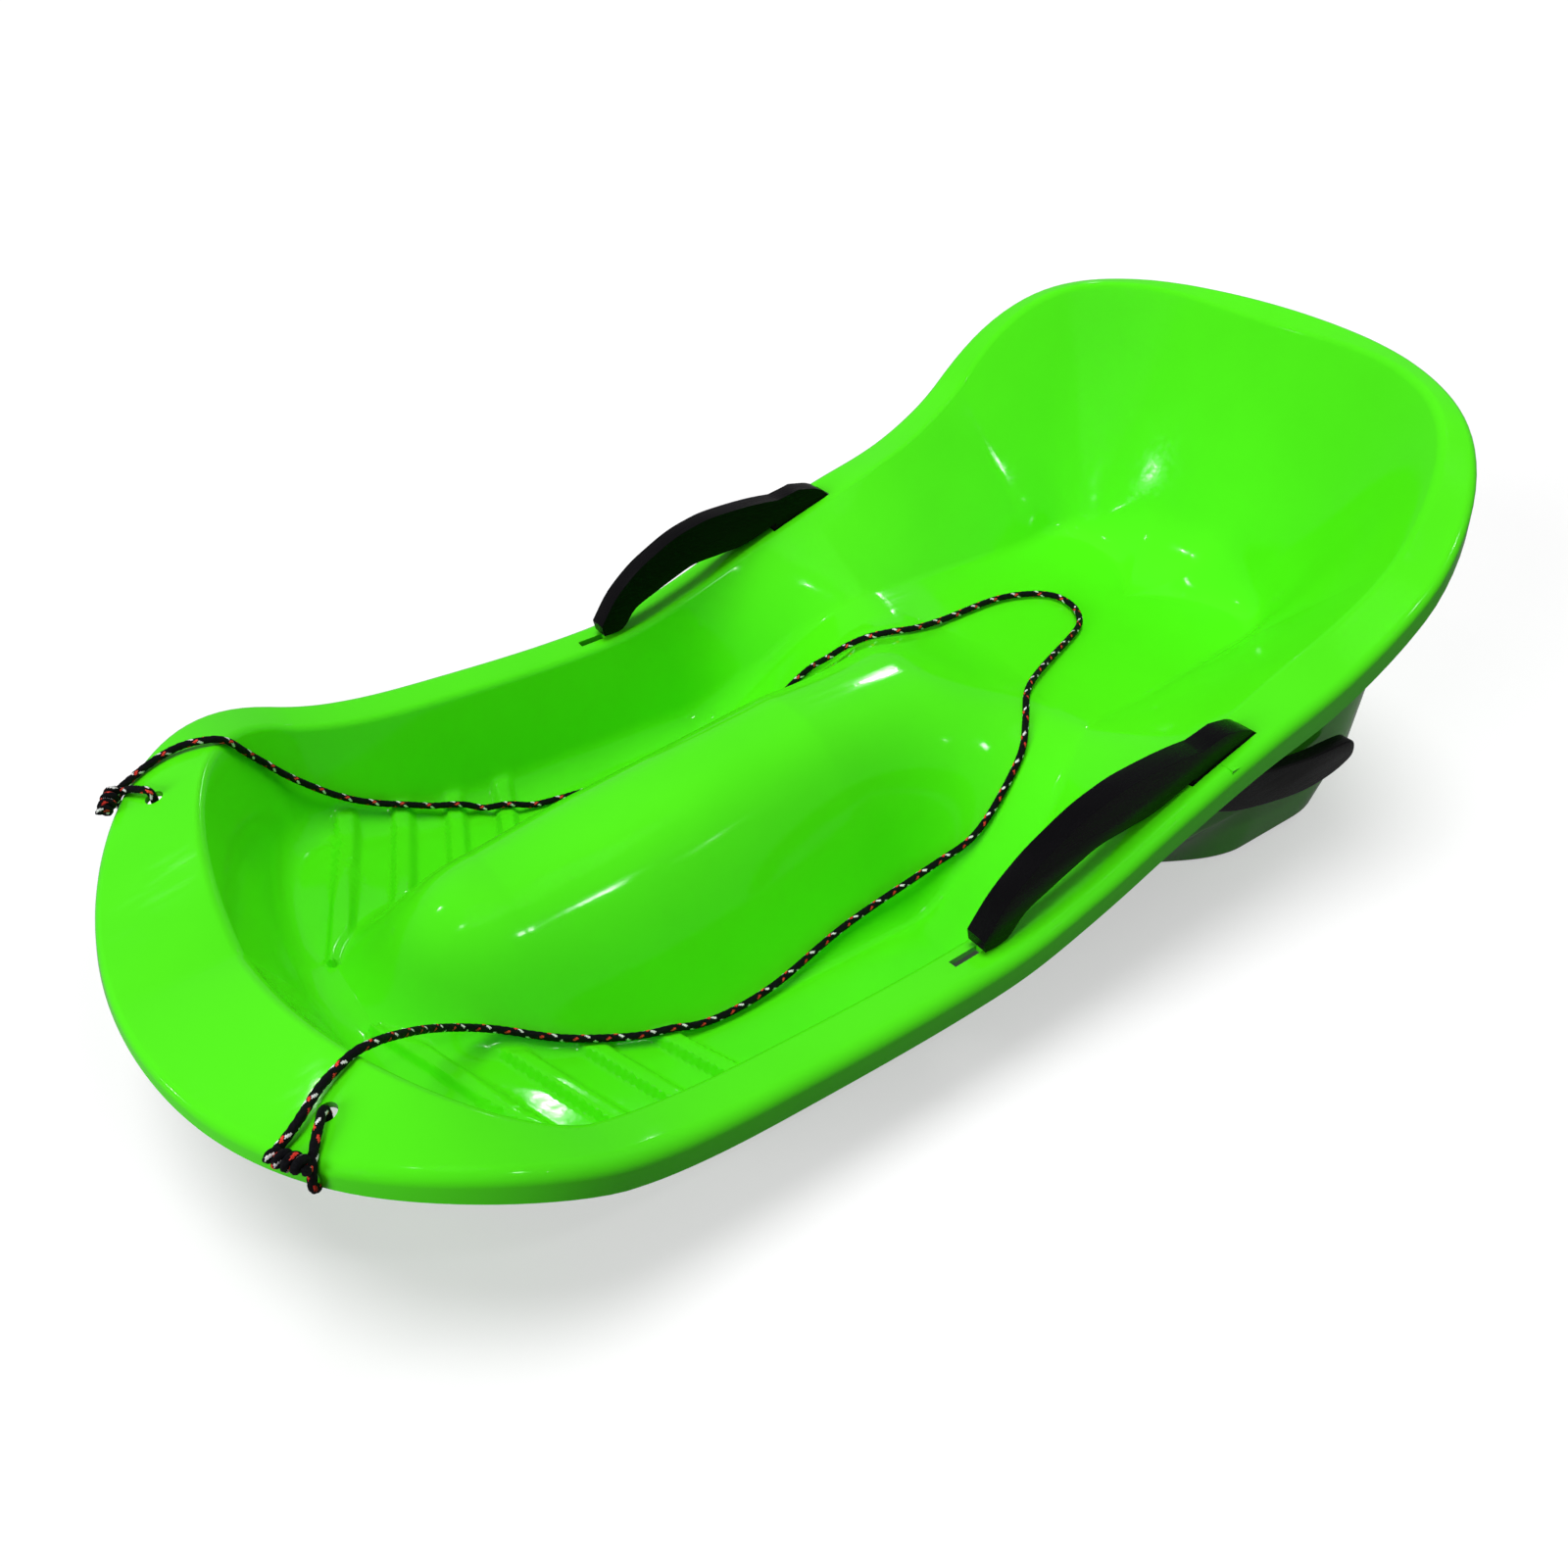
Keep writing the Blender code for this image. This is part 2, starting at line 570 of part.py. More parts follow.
def add_surface(mesh, sections, flip):
    """Adds a grid of sections to the mesh, and its mirror image in X = 0."""
    rows = len(sections[0])
    for side in (1, -1):
        verts = [mesh.verts.new((side * p[0], p[1], p[2])) for section in sections for p in section]
        for face in grid_faces(len(sections), rows, flip != (side < 0)):
            mesh.faces.new([verts[k] for k in face])


def hull_body():
    stations = all_stations(NOSE_STEPS, SIDE_STEPS, TAIL_STEPS)
    halves = [half_section(s, INNER_STEPS) for s in stations]
    mesh = bmesh.new()
    add_surface(mesh, [upper for upper, _ in halves], True)
    add_surface(mesh, [lower for _, lower in halves], False)
    ends = [[upper[0], lower[0]] for upper, lower in halves]
    add_surface(mesh, ends, False)
    bmesh.ops.remove_doubles(mesh, verts=mesh.verts, dist=0.00002)
    bmesh.ops.dissolve_degenerate(mesh, dist=0.00001, edges=mesh.edges)
    bmesh.ops.recalc_face_normals(mesh, faces=mesh.faces)
    return mesh


def finish_object(name, mesh, shade, sharp=35):
    data = bpy.data.meshes.new(name)
    mesh.to_mesh(data)
    mesh.free()
    data.materials.append(shade)
    data.shade_smooth()
    data.set_sharp_from_angle(angle=math.radians(sharp))
    made = bpy.data.objects.new(name, data)
    bpy.context.scene.collection.objects.link(made)
    return made


def prism_x(name, outline, low, high):
    """Solid between two X planes with a given outline of (y, z) points."""
    mesh = bmesh.new()
    first = [mesh.verts.new((low, y, z)) for y, z in outline]
    second = [mesh.verts.new((high, y, z)) for y, z in outline]
    mesh.faces.new(first)
    mesh.faces.new(second[::-1])
    count = len(outline)
    for i in range(count):
        j = (i + 1) % count
        mesh.faces.new((first[i], second[i], second[j], first[j]))
    bmesh.ops.recalc_face_normals(mesh, faces=mesh.faces)
    data = bpy.data.meshes.new(name)
    mesh.to_mesh(data)
    mesh.free()
    made = bpy.data.objects.new(name, data)
    bpy.context.scene.collection.objects.link(made)
    return made


def round_x(name, y, z, radius, low, high, sides=24):
    turns = [2 * math.pi * i / sides for i in range(sides)]
    outline = [(y + radius * math.cos(t), z + radius * math.sin(t)) for t in turns]
    return prism_x(name, outline, low, high)


def post_z(name, x, y, radius, low, high, sides=20):
    mesh = bmesh.new()
    bmesh.ops.create_cone(mesh, cap_ends=True, segments=sides, radius1=radius, radius2=radius,
                          depth=high - low)
    bmesh.ops.translate(mesh, verts=mesh.verts, vec=(x, y, (low + high) / 2))
    data = bpy.data.meshes.new(name)
    mesh.to_mesh(data)
    mesh.free()
    made = bpy.data.objects.new(name, data)
    bpy.context.scene.collection.objects.link(made)
    return made


def box(name, low, high):
    mesh = bmesh.new()
    bmesh.ops.create_cube(mesh, size=1.0)
    size = Vector(high) - Vector(low)
    bmesh.ops.scale(mesh, verts=mesh.verts, vec=size)
    bmesh.ops.translate(mesh, verts=mesh.verts, vec=(Vector(low) + Vector(high)) / 2)
    data = bpy.data.meshes.new(name)
    mesh.to_mesh(data)
    mesh.free()
    made = bpy.data.objects.new(name, data)
    bpy.context.scene.collection.objects.link(made)
    return made


def combine(target, tool, how):
    """Applies a Boolean to the target's mesh and removes the tool."""
    step = target.modifiers.new(how.lower(), "BOOLEAN")
    step.operation = how
    step.object = tool
    graph = bpy.context.evaluated_depsgraph_get()
    data = bpy.data.meshes.new_from_object(target.evaluated_get(graph))
    target.modifiers.clear()
    target.data = data
    bpy.data.objects.remove(tool, do_unlink=True)


def pivot():
    y = NOSE_TIP + PIVOT_RUN
    return y, rim_height(y) - PIVOT_DROP


def lug_face():
    """Distance of the lug's inner face from the middle."""
    return LEVER_X + HUB_WIDTH / 2 + HUB_GAP + REST_GAP


def wall_face():
    """Distance of the outer wall's face from the middle, at the pivot."""
    return inner_half(PIVOT_RUN) + SKIN


def cut_hull(hull):
    combine(hull, hollow_tool(), "DIFFERENCE")
    y, z = pivot()
    tip_y = NOSE_TIP + TIP_SLOT_RUN
    tip_z = rim_height(tip_y)
    half_wide = HUB_WIDTH / 2 + HUB_GAP
    rim = rim_height(y)
    hole_x, hole_y = hole_middle()
    hole_z = rim_height(hole_y)
    for side in (1, -1):
        ends = sorted((side * lug_face(), side * (HALF_WIDTH - SKIN / 2)))
        lug = box("lug", (ends[0], y - LUG_HALF, rim - LIP_DROP - LUG_DROP),
                  (ends[1], y + LUG_HALF, rim - SKIN))
        combine(hull, lug, "UNION")
        combine(hull, round_x("slot", y, z, HUB_RADIUS + HUB_GAP, side * LEVER_X - half_wide,
                              side * LEVER_X + half_wide, 2 * ROUND_SIDES), "DIFFERENCE")
        bore = sorted((side * (wall_face() - SKIN - 0.003), side * (lug_face() + PIN_SEAT)))
        combine(hull, round_x("bore", y, z, PIN_RADIUS + PIN_GAP, *bore), "DIFFERENCE")
        middle = Vector((side * LEVER_X, tip_y, tip_z))
        reach_out = Vector((TIP_SLOT_WIDTH / 2, TIP_SLOT_LENGTH / 2, CUT))
        combine(hull, box("tip_slot", middle - reach_out, middle + reach_out), "DIFFERENCE")
        hole = post_z("rope_hole", side * hole_x, hole_y, HOLE_RADIUS, hole_z - CUT, hole_z + CUT)
        combine(hull, hole, "DIFFERENCE")


def build_hull():
    hull = finish_object("hull", hull_body(), hull_plastic())
    cut_hull(hull)
    return hull


def curve_through(points, parts, closed=False):
    """Smooth curve through points in any number of dimensions, with equal parts between them."""
    count = len(points)
    stretches = count if closed else count - 1
    made = []
    for i in range(stretches):
        if closed:
            p = [points[(i + k) % count] for k in (-1, 0, 1, 2)]
        else:
            p = [points[min(count - 1, max(0, i + k))] for k in (-1, 0, 1, 2)]
        for j in range(parts):
            t = j / parts
            made.append(tuple(
                0.5 * (2 * b + (c - a) * t + (2 * a - 5 * b + 4 * c - d) * t ** 2
                       + (3 * b - a - 3 * c + d) * t ** 3)
                for a, b, c, d in zip(*p)))
    if not closed:
        made.append(tuple(points[-1]))
    return made


def soften(target, width):
    """Rounds all edges of a prism's two faces."""
    step = target.modifiers.new("soft", "BEVEL")
    step.width = width
    step.segments = 2
    step.limit_method = "ANGLE"
    step.angle_limit = math.radians(50)
    graph = bpy.context.evaluated_depsgraph_get()
    data = bpy.data.meshes.new_from_object(target.evaluated_get(graph))
    target.modifiers.clear()
    target.data = data


def grip_outline(parts, sides):
    """Outline of the grip and the hub together."""
    y, z = pivot()
    top = [(y + a, rim_height(y + a) + b) for a, b in curve_through(GRIP_TOP, parts)]
    under = [(y + a, rim_height(y + a) + b) for a, b in curve_through(GRIP_UNDER, parts)]
    crown = [(y + a, z + b) for a, b in HUB_CROWN]
    turns = [math.radians(mix(*HUB_ARC, i / sides)) for i in range(sides + 1)]
    arc = [(y + HUB_RADIUS * math.cos(t), z + HUB_RADIUS * math.sin(t)) for t in turns]
    return top + crown + arc + under[::-1]


def build_lever(name, side):
    y, z = pivot()
    x = side * LEVER_X
    lever = prism_x(name, grip_outline(2, ROUND_SIDES), x - HUB_WIDTH / 2, x + HUB_WIDTH / 2)
    soften(lever, EDGE_SOFT)
    outline = [(y + a, z + b) for a, b in curve_through(PADDLE, 2)]
    paddle = prism_x("paddle", outline, x - PADDLE_THICK / 2, x + PADDLE_THICK / 2)
    soften(paddle, EDGE_SOFT / 2)
    combine(lever, paddle, "UNION")
    bore = round_x("bore", y, z, PIN_RADIUS + PIN_GAP, x - HUB_WIDTH, x + HUB_WIDTH)
    combine(lever, bore, "DIFFERENCE")
    return place_on_pivot(lever, lever_plastic())


def place_on_pivot(made, shade):
    """Moves the object's origin to the pivot and gives it its material."""
    y, z = pivot()
    made.data.transform(Matrix.Translation((0.0, -y, -z)))
    made.location = (0.0, y, z)
    made.data.materials.clear()
    made.data.materials.append(shade)
    made.data.shade_smooth()
    made.data.set_sharp_from_angle(angle=math.radians(35))
    return made


def ring_x(name, side, radius, hole, low, high):
    y, z = pivot()
    ends = sorted((side * low, side * high))
    made = round_x(name, y, z, radius, *ends)
    combine(made, round_x("hole", y, z, hole, ends[0] - CUT, ends[1] + CUT), "DIFFERENCE")
    return place_on_pivot(made, pin_steel())


def build_pivot(side, label):
    """Pin with its head inside the hollow, a clip on the wall and a washer beside the hub."""
    y, z = pivot()
    head_out = wall_face() - SKIN - PIN_HEAD_GAP
    head = sorted((side * (head_out - PIN_HEAD_THICK), side * head_out))
    pin = round_x("pivot_pin_" + label, y, z, PIN_HEAD_RADIUS, *head)
    shaft = sorted((side * (head_out - PIN_HEAD_THICK / 2), side * (lug_face() + PIN_SEAT - REST_GAP)))
    combine(pin, round_x("shaft", y, z, PIN_RADIUS, *shaft), "UNION")
    place_on_pivot(pin, pin_steel())
    hub_face = LEVER_X - HUB_WIDTH / 2
    washer_in = hub_face - REST_GAP - WASHER_THICK
    ring_x("washer_" + label, side, WASHER_RADIUS, PIN_RADIUS + PIN_GAP, washer_in, hub_face - REST_GAP)
    clip_out = washer_in - REST_GAP
    ring_x("clip_" + label, side, CLIP_RADIUS, PIN_RADIUS + PIN_GAP, clip_out - CLIP_THICK, clip_out)


def crest_point(angle):
    """Point of the nose's crest and the level direction out from it."""
    radius = reach(angle, HALF_WIDTH, NOSE_RUN, 2.0)
    x, y = radius * math.cos(angle), NOSE_CENTRE + radius * math.sin(angle)
    out = Vector((x / HALF_WIDTH ** 2, (y - NOSE_CENTRE) / NOSE_RUN ** 2)).normalized()
    return Vector((x, y, rim_height(y))), out


def tube(name, points, radius, closed, shade, resolution=2):
    line = bpy.data.curves.new(name, "CURVE")
    line.dimensions = "3D"
    line.bevel_depth = radius
    line.bevel_resolution = resolution
    line.use_fill_caps = True
    spline = line.splines.new("POLY")
    spline.points.add(len(points) - 1)
    for place, point in zip(spline.points, points):
        place.co = (*point, 1.0)
    spline.use_cyclic_u = closed
    line.materials.append(shade)
    made = bpy.data.objects.new(name, line)
    bpy.context.scene.collection.objects.link(made)
    return made


def as_mesh(made):
    """The curve object as a mesh object of the same name."""
    graph = bpy.context.evaluated_depsgraph_get()
    data = bpy.data.meshes.new_from_object(made.evaluated_get(graph))
    name = made.name
    bpy.data.objects.remove(made, do_unlink=True)
    other = bpy.data.objects.new(name, data)
    bpy.context.scene.collection.objects.link(other)
    return other


def hole_middle():
    """Middle of the right rope hole, seen from above."""
    back = 1.0 - HOLE_RUN / NOSE_RUN
    return HALF_WIDTH * math.sqrt(1.0 - back ** 2) - HOLE_INSET, NOSE_TIP + HOLE_RUN


def hole_angle():
    """Direction from the nose's centre to a rope hole."""
    x, y = hole_middle()
    return math.atan2(y - NOSE_CENTRE, x)


def knot_middle(side, degrees):
    """Point on the middle line of a knot, and the level direction out from the nose there."""
    place, out = crest_point(hole_angle() + math.radians(KNOT_SHIFT + degrees))
    point = Vector((side * (place.x + KNOT_OUT * out.x), place.y + KNOT_OUT * out.y, place.z + KNOT_UP))
    return point, Vector((side * out.x, out.y, 0.0))


def build_knot(name, side):
    """Loop of rope through the hole and round the lip, and the knot that ties it on the crest."""
    crest, _ = crest_point(hole_angle())
    level = Vector((math.cos(hole_angle()), math.sin(hole_angle())))
    loop = [(side * (crest.x + a * level.x), crest.y + a * level.y, crest.z + b)
            for a, b in curve_through(ROPE_LOOP, 2, True)]
    ring = as_mesh(tube(name, loop, ROPE / 2, True, rope_cord()))
    line = [knot_middle(side, KNOT_TURN * k)[0] for k in (-1.0, -0.5, 0.0, 0.5, 1.0)]
    knot = as_mesh(tube("knot", line, KNOT_RADIUS, False, rope_cord(), 3))
    combine(ring, knot, "UNION")
    ring.data.materials.clear()
    ring.data.materials.append(rope_cord())
    ring.data.shade_smooth()
    ring.data.set_sharp_from_angle(angle=math.radians(50))
    return ring


def rope_end(side, degrees):
    """Where the rope ends beside its knot, on the knot's inner side."""
    middle, out = knot_middle(side, degrees)
    return middle - out * (KNOT_RADIUS + KNOT_GAP)


def push_off(point, tree, distance):
    """How far a point has to move to be at least the given distance from a surface."""
    near, normal, _, gap = tree.find_nearest(point)
    if (point - near).dot(normal) < 0:
        return normal * (gap + distance)
    if gap < distance:
        return (point - near).normalized() * (distance - gap)
    return Vector((0.0, 0.0, 0.0))


def laid_on(points, tree, distance, rounds=24):
    """Moves a line of points until it clears a surface, also between its points."""
    points = [Vector(p) for p in points]
    for _ in range(rounds):
        moves = [push_off(p, tree, distance) for p in points]
        for index, (first, second) in enumerate(zip(points, points[1:])):
            for share in (0.25, 0.5, 0.75):
                push = push_off(first.lerp(second, share), tree, distance)
                for place in (index, index + 1):
                    if push.length > moves[place].length:
                        moves[place] = push
        points = [p + m for p, m in zip(points, moves)]
    return points


def build_rope(hull):
    route = [(x, NOSE_TIP + run, z) for x, run, z in ROPE_ROUTE]
    route = [rope_end(1, ROPE_END_RIGHT)] + route + [rope_end(-1, ROPE_END_LEFT)]
    fine = curve_through(route, 12)
    spaced = [Vector(fine[0])]
    for point in fine[1:-1]:
        if (Vector(point) - spaced[-1]).length >= ROPE_STEP:
            spaced.append(Vector(point))
    if (Vector(fine[-1]) - spaced[-1]).length < ROPE_STEP / 2:
        spaced.pop()
    spaced.append(Vector(fine[-1]))
    mesh = bmesh.new()
    mesh.from_mesh(hull.data)
    tree = BVHTree.FromBMesh(mesh)
    mesh.free()
    laid = laid_on(spaced, tree, ROPE / 2 + ROPE_GAP)
    return tube("pull_rope", laid, ROPE / 2, False, rope_cord())


def main():
    clear_scene()
    hull = build_hull()
    for side, label in ((1, "right"), (-1, "left")):
        build_lever("brake_lever_" + label, side)
        build_pivot(side, label)
        build_knot("rope_knot_" + label, side)
    build_rope(hull)


main()
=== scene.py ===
"""Looks of a children's snow sled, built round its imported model."""
import math

import bmesh
import bpy
from mathutils import Matrix, Vector
from mathutils.bvhtree import BVHTree


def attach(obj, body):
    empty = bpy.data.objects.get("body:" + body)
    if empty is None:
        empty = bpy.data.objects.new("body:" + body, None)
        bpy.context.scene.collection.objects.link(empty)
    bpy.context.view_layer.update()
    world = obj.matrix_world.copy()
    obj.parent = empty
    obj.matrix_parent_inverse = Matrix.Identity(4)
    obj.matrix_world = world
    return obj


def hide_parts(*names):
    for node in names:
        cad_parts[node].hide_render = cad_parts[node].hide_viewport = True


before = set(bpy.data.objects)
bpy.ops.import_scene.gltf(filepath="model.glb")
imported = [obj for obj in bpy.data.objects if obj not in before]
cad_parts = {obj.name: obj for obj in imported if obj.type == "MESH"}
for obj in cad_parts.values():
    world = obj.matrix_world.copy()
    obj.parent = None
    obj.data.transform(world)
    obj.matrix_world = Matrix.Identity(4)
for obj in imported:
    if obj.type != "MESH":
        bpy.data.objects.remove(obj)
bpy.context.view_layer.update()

# Hull plan, measured on the crest of the rim
HALF_WIDTH = 0.243          # middle to the outer crest of the rim
NOSE_RUN = 0.170            # length of the rounded nose
STRAIGHT_RUN = 0.619        # length of the straight sides
TAIL_RUN = 0.133            # length of the rounded tail
NOSE_FLANGE = 0.068         # width of the flat rim at the tip of the nose
SIDE_FLANGE = 0.032         # width of the flat rim along the sides
TAIL_FLANGE = 0.018         # width of the rim over the backrest
WAIST = 0.004               # how far the rim widens inwards beside the seat
WAIST_START = 0.520         # where the rim starts to widen
WAIST_FULL = 0.660
WAIST_FADE = 0.700          # where it starts to narrow again
WAIST_END = 0.790
SKIN = 0.004                # wall of the moulded hull
LIP_DROP_NOSE = 0.008       # height of the rim's turned-down lip at the nose
LIP_DROP = 0.021            # the same along the sides
LIP_DROP_TAIL = 0.010       # the same at the top of the backrest
LIP_FLARE = 0.002           # how far the lip leans out
CREST_ROUND = 0.009         # rounding of the rim's outer corner
EDGE_ROUND = 0.007          # rounding of the rim's inner corner

# Rim height above the ground, as distance from the tip of the nose and height
RIM_LINE = (
    (0.000, 0.110), (0.040, 0.124), (0.090, 0.132), (0.135, 0.125), (0.190, 0.105), (0.260, 0.096),
    (0.430, 0.095), (0.505, 0.114), (0.570, 0.139), (0.640, 0.162), (0.717, 0.181), (0.782, 0.217),
    (0.826, 0.265), (0.864, 0.302), (0.895, 0.319), (0.922, 0.329),
)
RIM_AVERAGE = (-0.016, -0.008, 0.0, 0.008, 0.016)   # where its height is read round a place, to smooth it
EDGE_DROP_SIDE = 0.004      # inner corner of the rim under its crest, along the sides
EDGE_LIFT_CORNER = 0.012    # inner corner over that line, at the corners of the nose
EDGE_LIFT_NOSE = 0.006      # the same at the tip of the nose
EDGE_DROP_TAIL = 0.007      # inner corner under that line, over the backrest
EDGE_POWER = 2.2            # squareness of the inner corner's line round the tail
EDGE_LIFT_SEAT = 0.006      # inner corner over the crest, beside the seat
LIFT_START = 0.628          # where that lift begins
LIFT_FULL = 0.710           # where it is reached

# Tub: the footwells, the ridge between the legs, the seat and the backrest
FOOTWELL_INSET = 0.031      # rim's inner corner to the corner of wall and floor, in the footwell
SEAT_HALF = 0.112           # middle to the crease of the seat
SEAT_FLARE = 0.006          # extra half width of the seat at its front
SEAT_WIDE_RUN = 0.642       # where the seat has that width
SEAT_TAPER = 0.009          # how much it narrows towards the backrest
TAPER_START = 0.640
TAPER_END = 0.790
FOOTWELL_NOSE_RUN = 0.068   # reach of the footwell floor into the nose
SEAT_TAIL_RUN = 0.055       # reach of the seat floor into the tail
NOSE_POWER = 2.2            # squareness of the floor in the nose
SEAT_POWER = 4.0            # the same of the seat's rear corners
WELL_END = 0.470            # where the footwell starts to rise to the seat
SEAT_START = 0.622          # where the seat floor begins
FLOOR_NOSE = 0.050          # height of the floor at its front end
FLOOR_SLOPE_START = 0.078   # where the floor starts to fall
FLOOR_SLOPE_END = 0.300     # where the sloping front of the floor ends
SEAT_HEIGHT = 0.116
SEAT_DISH = 0.005           # how far the middle of the seat is hollowed
FOOT_ROUND = 0.030          # rounding between wall and floor in the footwell
SEAT_ROUND = 0.018          # the same beside the seat
BACK_ROUND = 0.090          # the same between seat and backrest
BACK_ROUND_FROM = 10.0      # direction round the tail, in degrees, where that rounding begins
BACK_ROUND_FULL = 72.0      # where it is reached
BACK_RISE = 0.008           # how far the seat rises at its rear end
BACK_RISE_RUN = 0.090       # length of that rise
INWARD = 0.74               # inner end of the rounding at the foot, as a share of the floor
INWARD_BACK = 0.05          # the same under the backrest
RIDGE_HALF = 0.116          # half width of the ridge at its foot
RIDGE_FRONT_HALF = 0.094    # the same at the ridge's rounded front
RIDGE_TIP = 0.108           # where the ridge begins
RIDGE_FRONT_RUN = 0.112     # length of its rounded front
RIDGE_FRONT_END = RIDGE_TIP + RIDGE_FRONT_RUN
RIDGE_FRONT_TOP = 0.096     # height of its top there
RIDGE_TOP = 0.130           # height of its highest part
RIDGE_TOP_START = 0.450     # where that height is reached
RIDGE_WIDEN_RUN = 0.180     # where it starts to widen
RIDGE_WIDE_RUN = 0.300      # where it has its full width
RIDGE_FALL_RUN = 0.545      # where its top starts to fall to the seat
RIDGE_END_RUN = 0.645       # where it ends in the seat
RIDGE_FLAT = 2.8            # how flat its top is
RIDGE_FLANK = 1.8           # how softly its flanks end on the floor

# Outer wall round the hollow under the seat
KNUCKLE_INSET = 0.036       # rim's outer crest to the wall's lower bend
KNUCKLE_HEIGHT = 0.062
KNUCKLE_TAIL_RUN = 0.108    # reach of that bend into the tail
BASE_INSET = 0.047          # rim's outer crest to the wall's foot on the ground
BASE_FRONT_INSET = 0.103    # the same at the front of the hollow
BASE_TAIL_RUN = 0.088       # reach of the foot into the tail
BASE_ROUND = 0.010
BASE_POWER = 2.6            # squareness of the foot and the bend round the tail
KNUCKLE_ROUND = 0.018       # rounding of the lower bend
BILGE_ROUND = 0.030         # the same where the hull has one wall
BILGE_PLACE = 0.5           # that bend's place between the wall's top and foot
RUNNER_WIDTH = 0.045        # strip turned in along the foot of the wall
RUNNER_TAIL_WIDTH = 0.027   # the same strip under the backrest
RUNNER_TAIL_FROM = 60.0     # direction round the tail, in degrees, from which it has that width
HOLLOW_SKIN = 0.006         # wall between the hollow and the tub
HOLLOW_INSET = 0.020        # how far the hollow reaches past the strip's inner end
HOLLOW_BEND = 0.010         # rounding at the hollow's top
HOLLOW_START = 0.470        # where the hollow under the seat opens
HOLLOW_FULL = 0.600         # where it has its full size
BASE_FULL = 0.730           # where the foot has its full width

# Brake levers
LEVER_INSET = 0.021         # rim's outer crest to the lever's middle plane
HUB_WIDTH = 0.015           # thickness of the hub and of the grip
HUB_RADIUS = 0.0325
PADDLE_THICK = 0.011
PIVOT_RUN = 0.622           # distance of the pivot from the tip of the nose
PIVOT_DROP = 0.018          # pivot under the rim's surface
HUB_GAP = 0.0010            # clearance of the hub in its slot
PIN_RADIUS = 0.0035
PIN_GAP = 0.0003            # clearance round the pin
PIN_SEAT = 0.0040           # depth of the pin's hole in its lug
BORE_REACH = 0.003          # how far a bore's cutter stands out of the wall and the lug
LUG_HALF = 0.010            # half length of the lug on the inside of the lip
LUG_DROP = 0.003            # how far the lug reaches under the lip
REST_GAP = 0.0004           # gap between faces that touch
GRIP_SOFT = 0.0036          # rounding of the grip's edges
PADDLE_SOFT = 0.0015        # rounding of the paddle's edges
TIP_SLOT_WIDTH = 0.006      # slot in the rim in front of the grip's tip
TIP_SLOT_LENGTH = 0.022
TIP_SLOT_RUN = 0.413
TIP_SLOT_REACH = 0.02       # how far its cutter stands out over and under the rim

# Grip from its toe to the hub: run from the pivot and height over the rim, top and underside
GRIP_TOP = (
    (-0.203, 0.010), (-0.188, 0.030), (-0.168, 0.044), (-0.149, 0.050), (-0.130, 0.053),
    (-0.112, 0.052), (-0.093, 0.048), (-0.054, 0.033), (-0.029, 0.022),
)
GRIP_UNDER = (
    (-0.201, 0.001), (-0.184, 0.001), (-0.171, 0.013), (-0.152, 0.017), (-0.132, 0.019),
    (-0.113, 0.019), (-0.087, 0.011), (-0.066, 0.004), (-0.045, 0.0022), (-0.031, 0.0025),
)

# Crown of the hub behind the grip: run and height from the pivot
HUB_CROWN = ((-0.018, 0.0325), (-0.008, 0.0345))
HUB_ARC = (82.0, -198.0)    # where the hub's round edge begins and ends, in degrees

# Paddle behind the hub: run from the pivot and height against the pivot
PADDLE = (
    (0.018, -0.006), (0.045, -0.019), (0.075, -0.027), (0.114, -0.034), (0.150, -0.037), (0.163, -0.041),
    (0.167, -0.052), (0.161, -0.058), (0.143, -0.063), (0.116, -0.064), (0.084, -0.059), (0.040, -0.048),
    (0.014, -0.038), (0.000, -0.029),
)

# Pull rope
ROPE = 0.005                # diameter
HOLE_RADIUS = 0.0055
HOLE_RUN = 0.065            # distance of the rope holes from the tip of the nose
HOLE_INSET = 0.0411         # rim's outer crest to the hole's middle, straight across
HOLE_CUT = (0.10, 0.16)     # heights between which a rope hole is cut
KNOT_OUT = 0.0034           # knot's middle outside the rim's crest
KNOT_UP = 0.0032            # knot's middle above the rim's crest
KNOT_SHIFT = -2.5           # knot's middle from the rope hole, in degrees round the nose
KNOT_HALF = 4.6             # half length of the knot, in degrees round the nose
KNOT_TURNS = 4
KNOT_COIL = 0.0030          # radius of the knot's coil at the rope's middle
KNOT_NARROW = 0.25          # how much of that radius the coil loses towards its ends
KNOT_SPREAD = 0.62          # share of the knot's length that the rope's middle takes up
ROPE_END_RIGHT = -2.8       # where the rope ends at the right knot, in degrees from its middle
ROPE_END_LEFT = 2.6         # the same at the left knot
ROPE_STEP = 0.0205          # distance between the points of the rope's way
ROPE_GAP = 0.0005           # clearance between the rope and the hull

# Loop of rope through a rope hole and round the lip, as distance out from the crest and height over it
ROPE_LOOP = (
    (-0.0265, 0.0020), (-0.0245, 0.0082), (-0.0175, 0.0078), (-0.0090, 0.0058), (-0.0002, 0.0012),
    (0.0054, -0.0062), (0.0050, -0.0112), (0.0000, -0.0142), (-0.0080, -0.0125), (-0.0150, -0.0095),
    (-0.0235, -0.0060),
)

